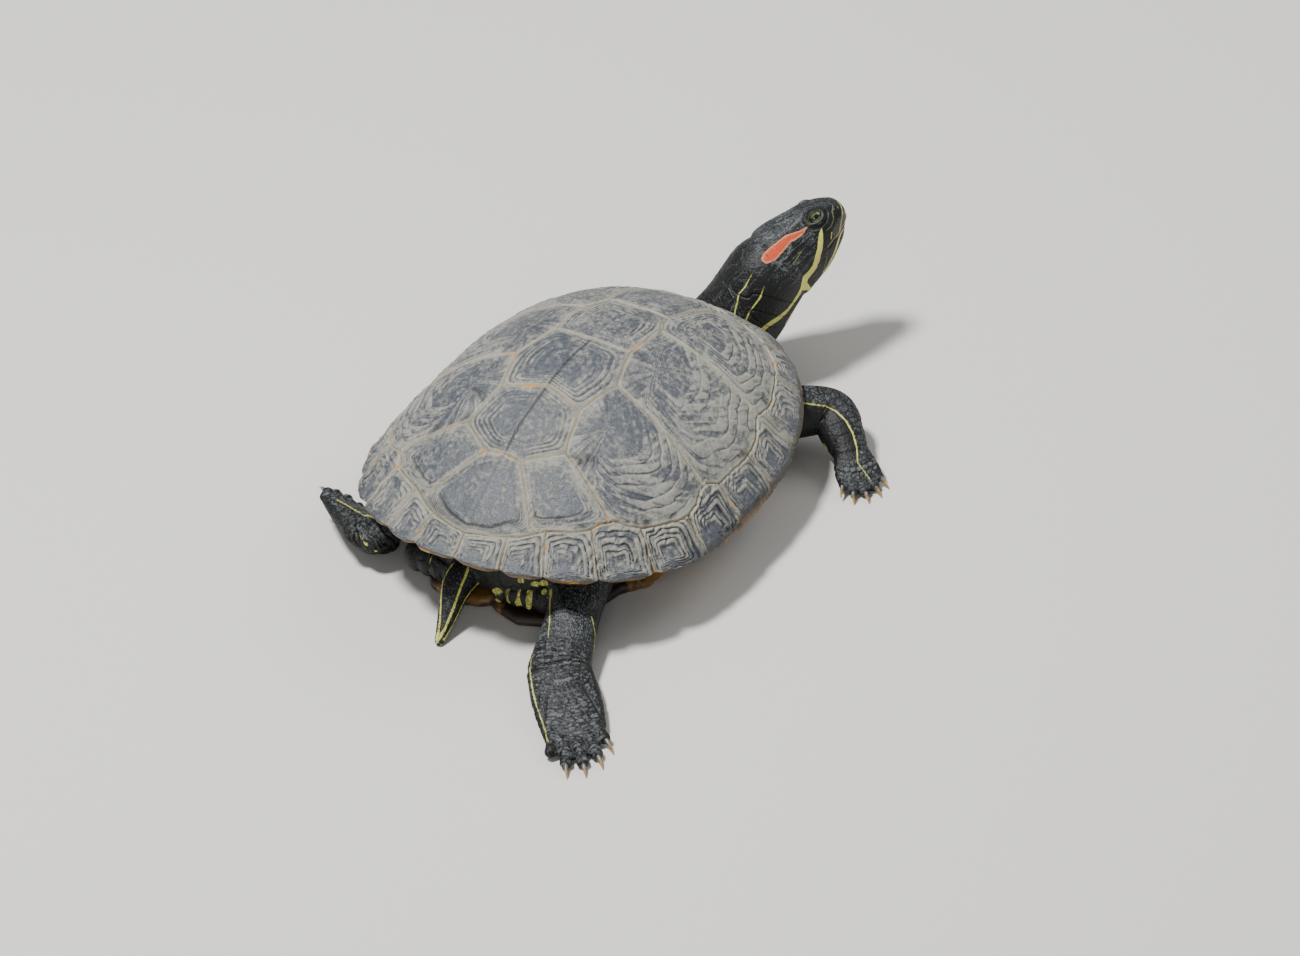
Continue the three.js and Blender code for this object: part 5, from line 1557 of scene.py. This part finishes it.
def wetEye():
    # a living eye: dark green iris with a black bar, under a clear wet cornea that gives one sharp highlight
    look = eyeFinish
    material, tree, shader = newMaterial("wetCornea", Roughness=0.12, IOR=1.376, Coat_Weight=1.0,
                                         Coat_Roughness=0.03)
    where = addNode(tree, "TexCoord", out="Object")
    away = addNode(tree, "Attribute", out="Fac", attribute_name="fromPupil")
    bar = addNode(tree, "Attribute", out="Fac", attribute_name="fromBar")
    fibre = addNode(tree, "TexNoise", {"Vector": where, "Scale": perSize(look["fibres"]), "Detail": 4,
                                       "Roughness": 0.7})
    body = addNode(tree, "Mix", {0: fibre, 6: look["iris"][0], 7: look["iris"][1]}, **mixColours)
    wide = addNode(tree, "Math", {0: bar, 1: fibre}, operation="ADD")
    for source, reach, tint, settings in ((away, "irisEdge", "edge", smoothly), (wide, "barEdge", "bar", {}),
                                          (away, "pupilEdge", "pupil", {})):
        mask = addNode(tree, "MapRange", {"Value": source, "From Min": look[reach][0],
                                          "From Max": look[reach][1]}, **settings)
        body = addNode(tree, "Mix", {0: mask, 6: body, 7: look[tint]}, **mixColours)
    joinFinish(tree, shader, body)
    return material


# the studio: a pale floor, soft light from above, and the camera
studio = {
    "back": (-0.62657, -0.47868, 0.61504), "right": (0.54221, -0.83461, -0.09719),
    "up": (0.55984, 0.27258, 0.78248), "aim": (12.13, -29.5, 19.4), "distance": 5013.5, "lens": 273.4,
    "sensor": 36, "farthest": 30, "floor": "#d6d4cf", "floorReach": 4000, "room": "#eef1f5", "roomLight": 0.3,
    "lamps": (((-0.42, 0.5, 2.25), 0.35, 86), ((1.5, -1.0, 1.5), 1.2, 14), ((-1.9, -1.3, 1.4), 1.2, 10)),
    "lampAim": (0, 0, 0.04),
}


def buildStudio():
    back, right, up, aim = (np.array(studio[key], float) for key in ("back", "right", "up", "aim"))
    camera = bpy.data.objects.new("camera", bpy.data.cameras.new("camera"))
    place = (aim + back * studio["distance"]) * toMetres
    axes = np.column_stack([right, up, back, place])
    camera.matrix_world = Matrix([*axes.tolist(), (0, 0, 0, 1)])
    camera.data.sensor_width = studio["sensor"]
    camera.data.lens = studio["lens"]
    camera.data.clip_end = studio["farthest"]
    bpy.context.scene.collection.objects.link(camera)
    bpy.context.scene.camera = camera
    material, _, shader = newMaterial("mattPaper", Roughness=0.9)
    shader.inputs["Base Color"].default_value = colour(studio["floor"])
    corners = np.array([(-1, -1, 0), (1, -1, 0), (1, 1, 0), (-1, 1, 0)], float) * studio["floorReach"]
    floor = bpy.data.objects.new("floor", makeMesh("floor", corners, [np.array([[0, 1, 2, 3]])]))
    floor.data.materials.append(material)
    bpy.context.scene.collection.objects.link(floor)
    world = bpy.data.worlds.new("softRoom")
    world.use_nodes = True
    world.node_tree.nodes["Background"].inputs["Color"].default_value = colour(studio["room"])
    world.node_tree.nodes["Background"].inputs["Strength"].default_value = studio["roomLight"]
    bpy.context.scene.world = world
    for i, (spot, size, watts) in enumerate(studio["lamps"]):
        lamp = bpy.data.objects.new(f"softbox{i}", bpy.data.lights.new(f"softbox{i}", "AREA"))
        lamp.data.size = size
        lamp.data.energy = watts
        lamp.location = spot
        lamp.rotation_euler = (Vector(studio["lampAim"]) - Vector(spot)).to_track_quat("-Z", "Y").to_euler()
        bpy.context.scene.collection.objects.link(lamp)


buildStudio()
addPiece("carapace_scutes", carapaceMesh(), siltedScute(), "carapace_scute", "carapace")
report("carapace made")
addPiece("plastron_scutes", plastronMesh(), plastronHorn(), "plastron_scute", "plastron")
report("plastron made")
flesh = ["trunk", "neck", "head", "lower_jaw", "tail"]
for end in ("right", "left"):
    flesh += [f"{part}_{end}" for part in ("upper_arm", "forearm", "forefoot", "thigh", "shank", "hindfoot")]
skin = addPiece("skin", skinMesh(), turtleSkin(), "skin", *flesh)
skinPoints, skinTriangles = meshArrays(skin.data)
facePoints, faceTriangles = keptFaces(skinPoints, skinTriangles, toHead(skinPoints)[:, 0] > -4)
addPiece("beak_upper", beakMesh(facePoints, faceTriangles), beakHorn(), "beak_keratin", "upper_beak")
cornea = wetEye()
for side, name in ((1, "left"), (-1, "right")):
    addPiece(f"eyeball_{name}", eyeMesh(side), cornea, "eye", f"eye_{name}")
horn = clawHorn()
for name, limb in limbs.items():
    kind, side = name.split("_")
    nodes = [f"{kind}_claw_{side}_{i + 1}" for i in range(limb["claws"])]
    addPiece(f"claws_{name}", clawMesh(limb), horn, "claw_keratin", *nodes)
report("beak, eyes and claws made")
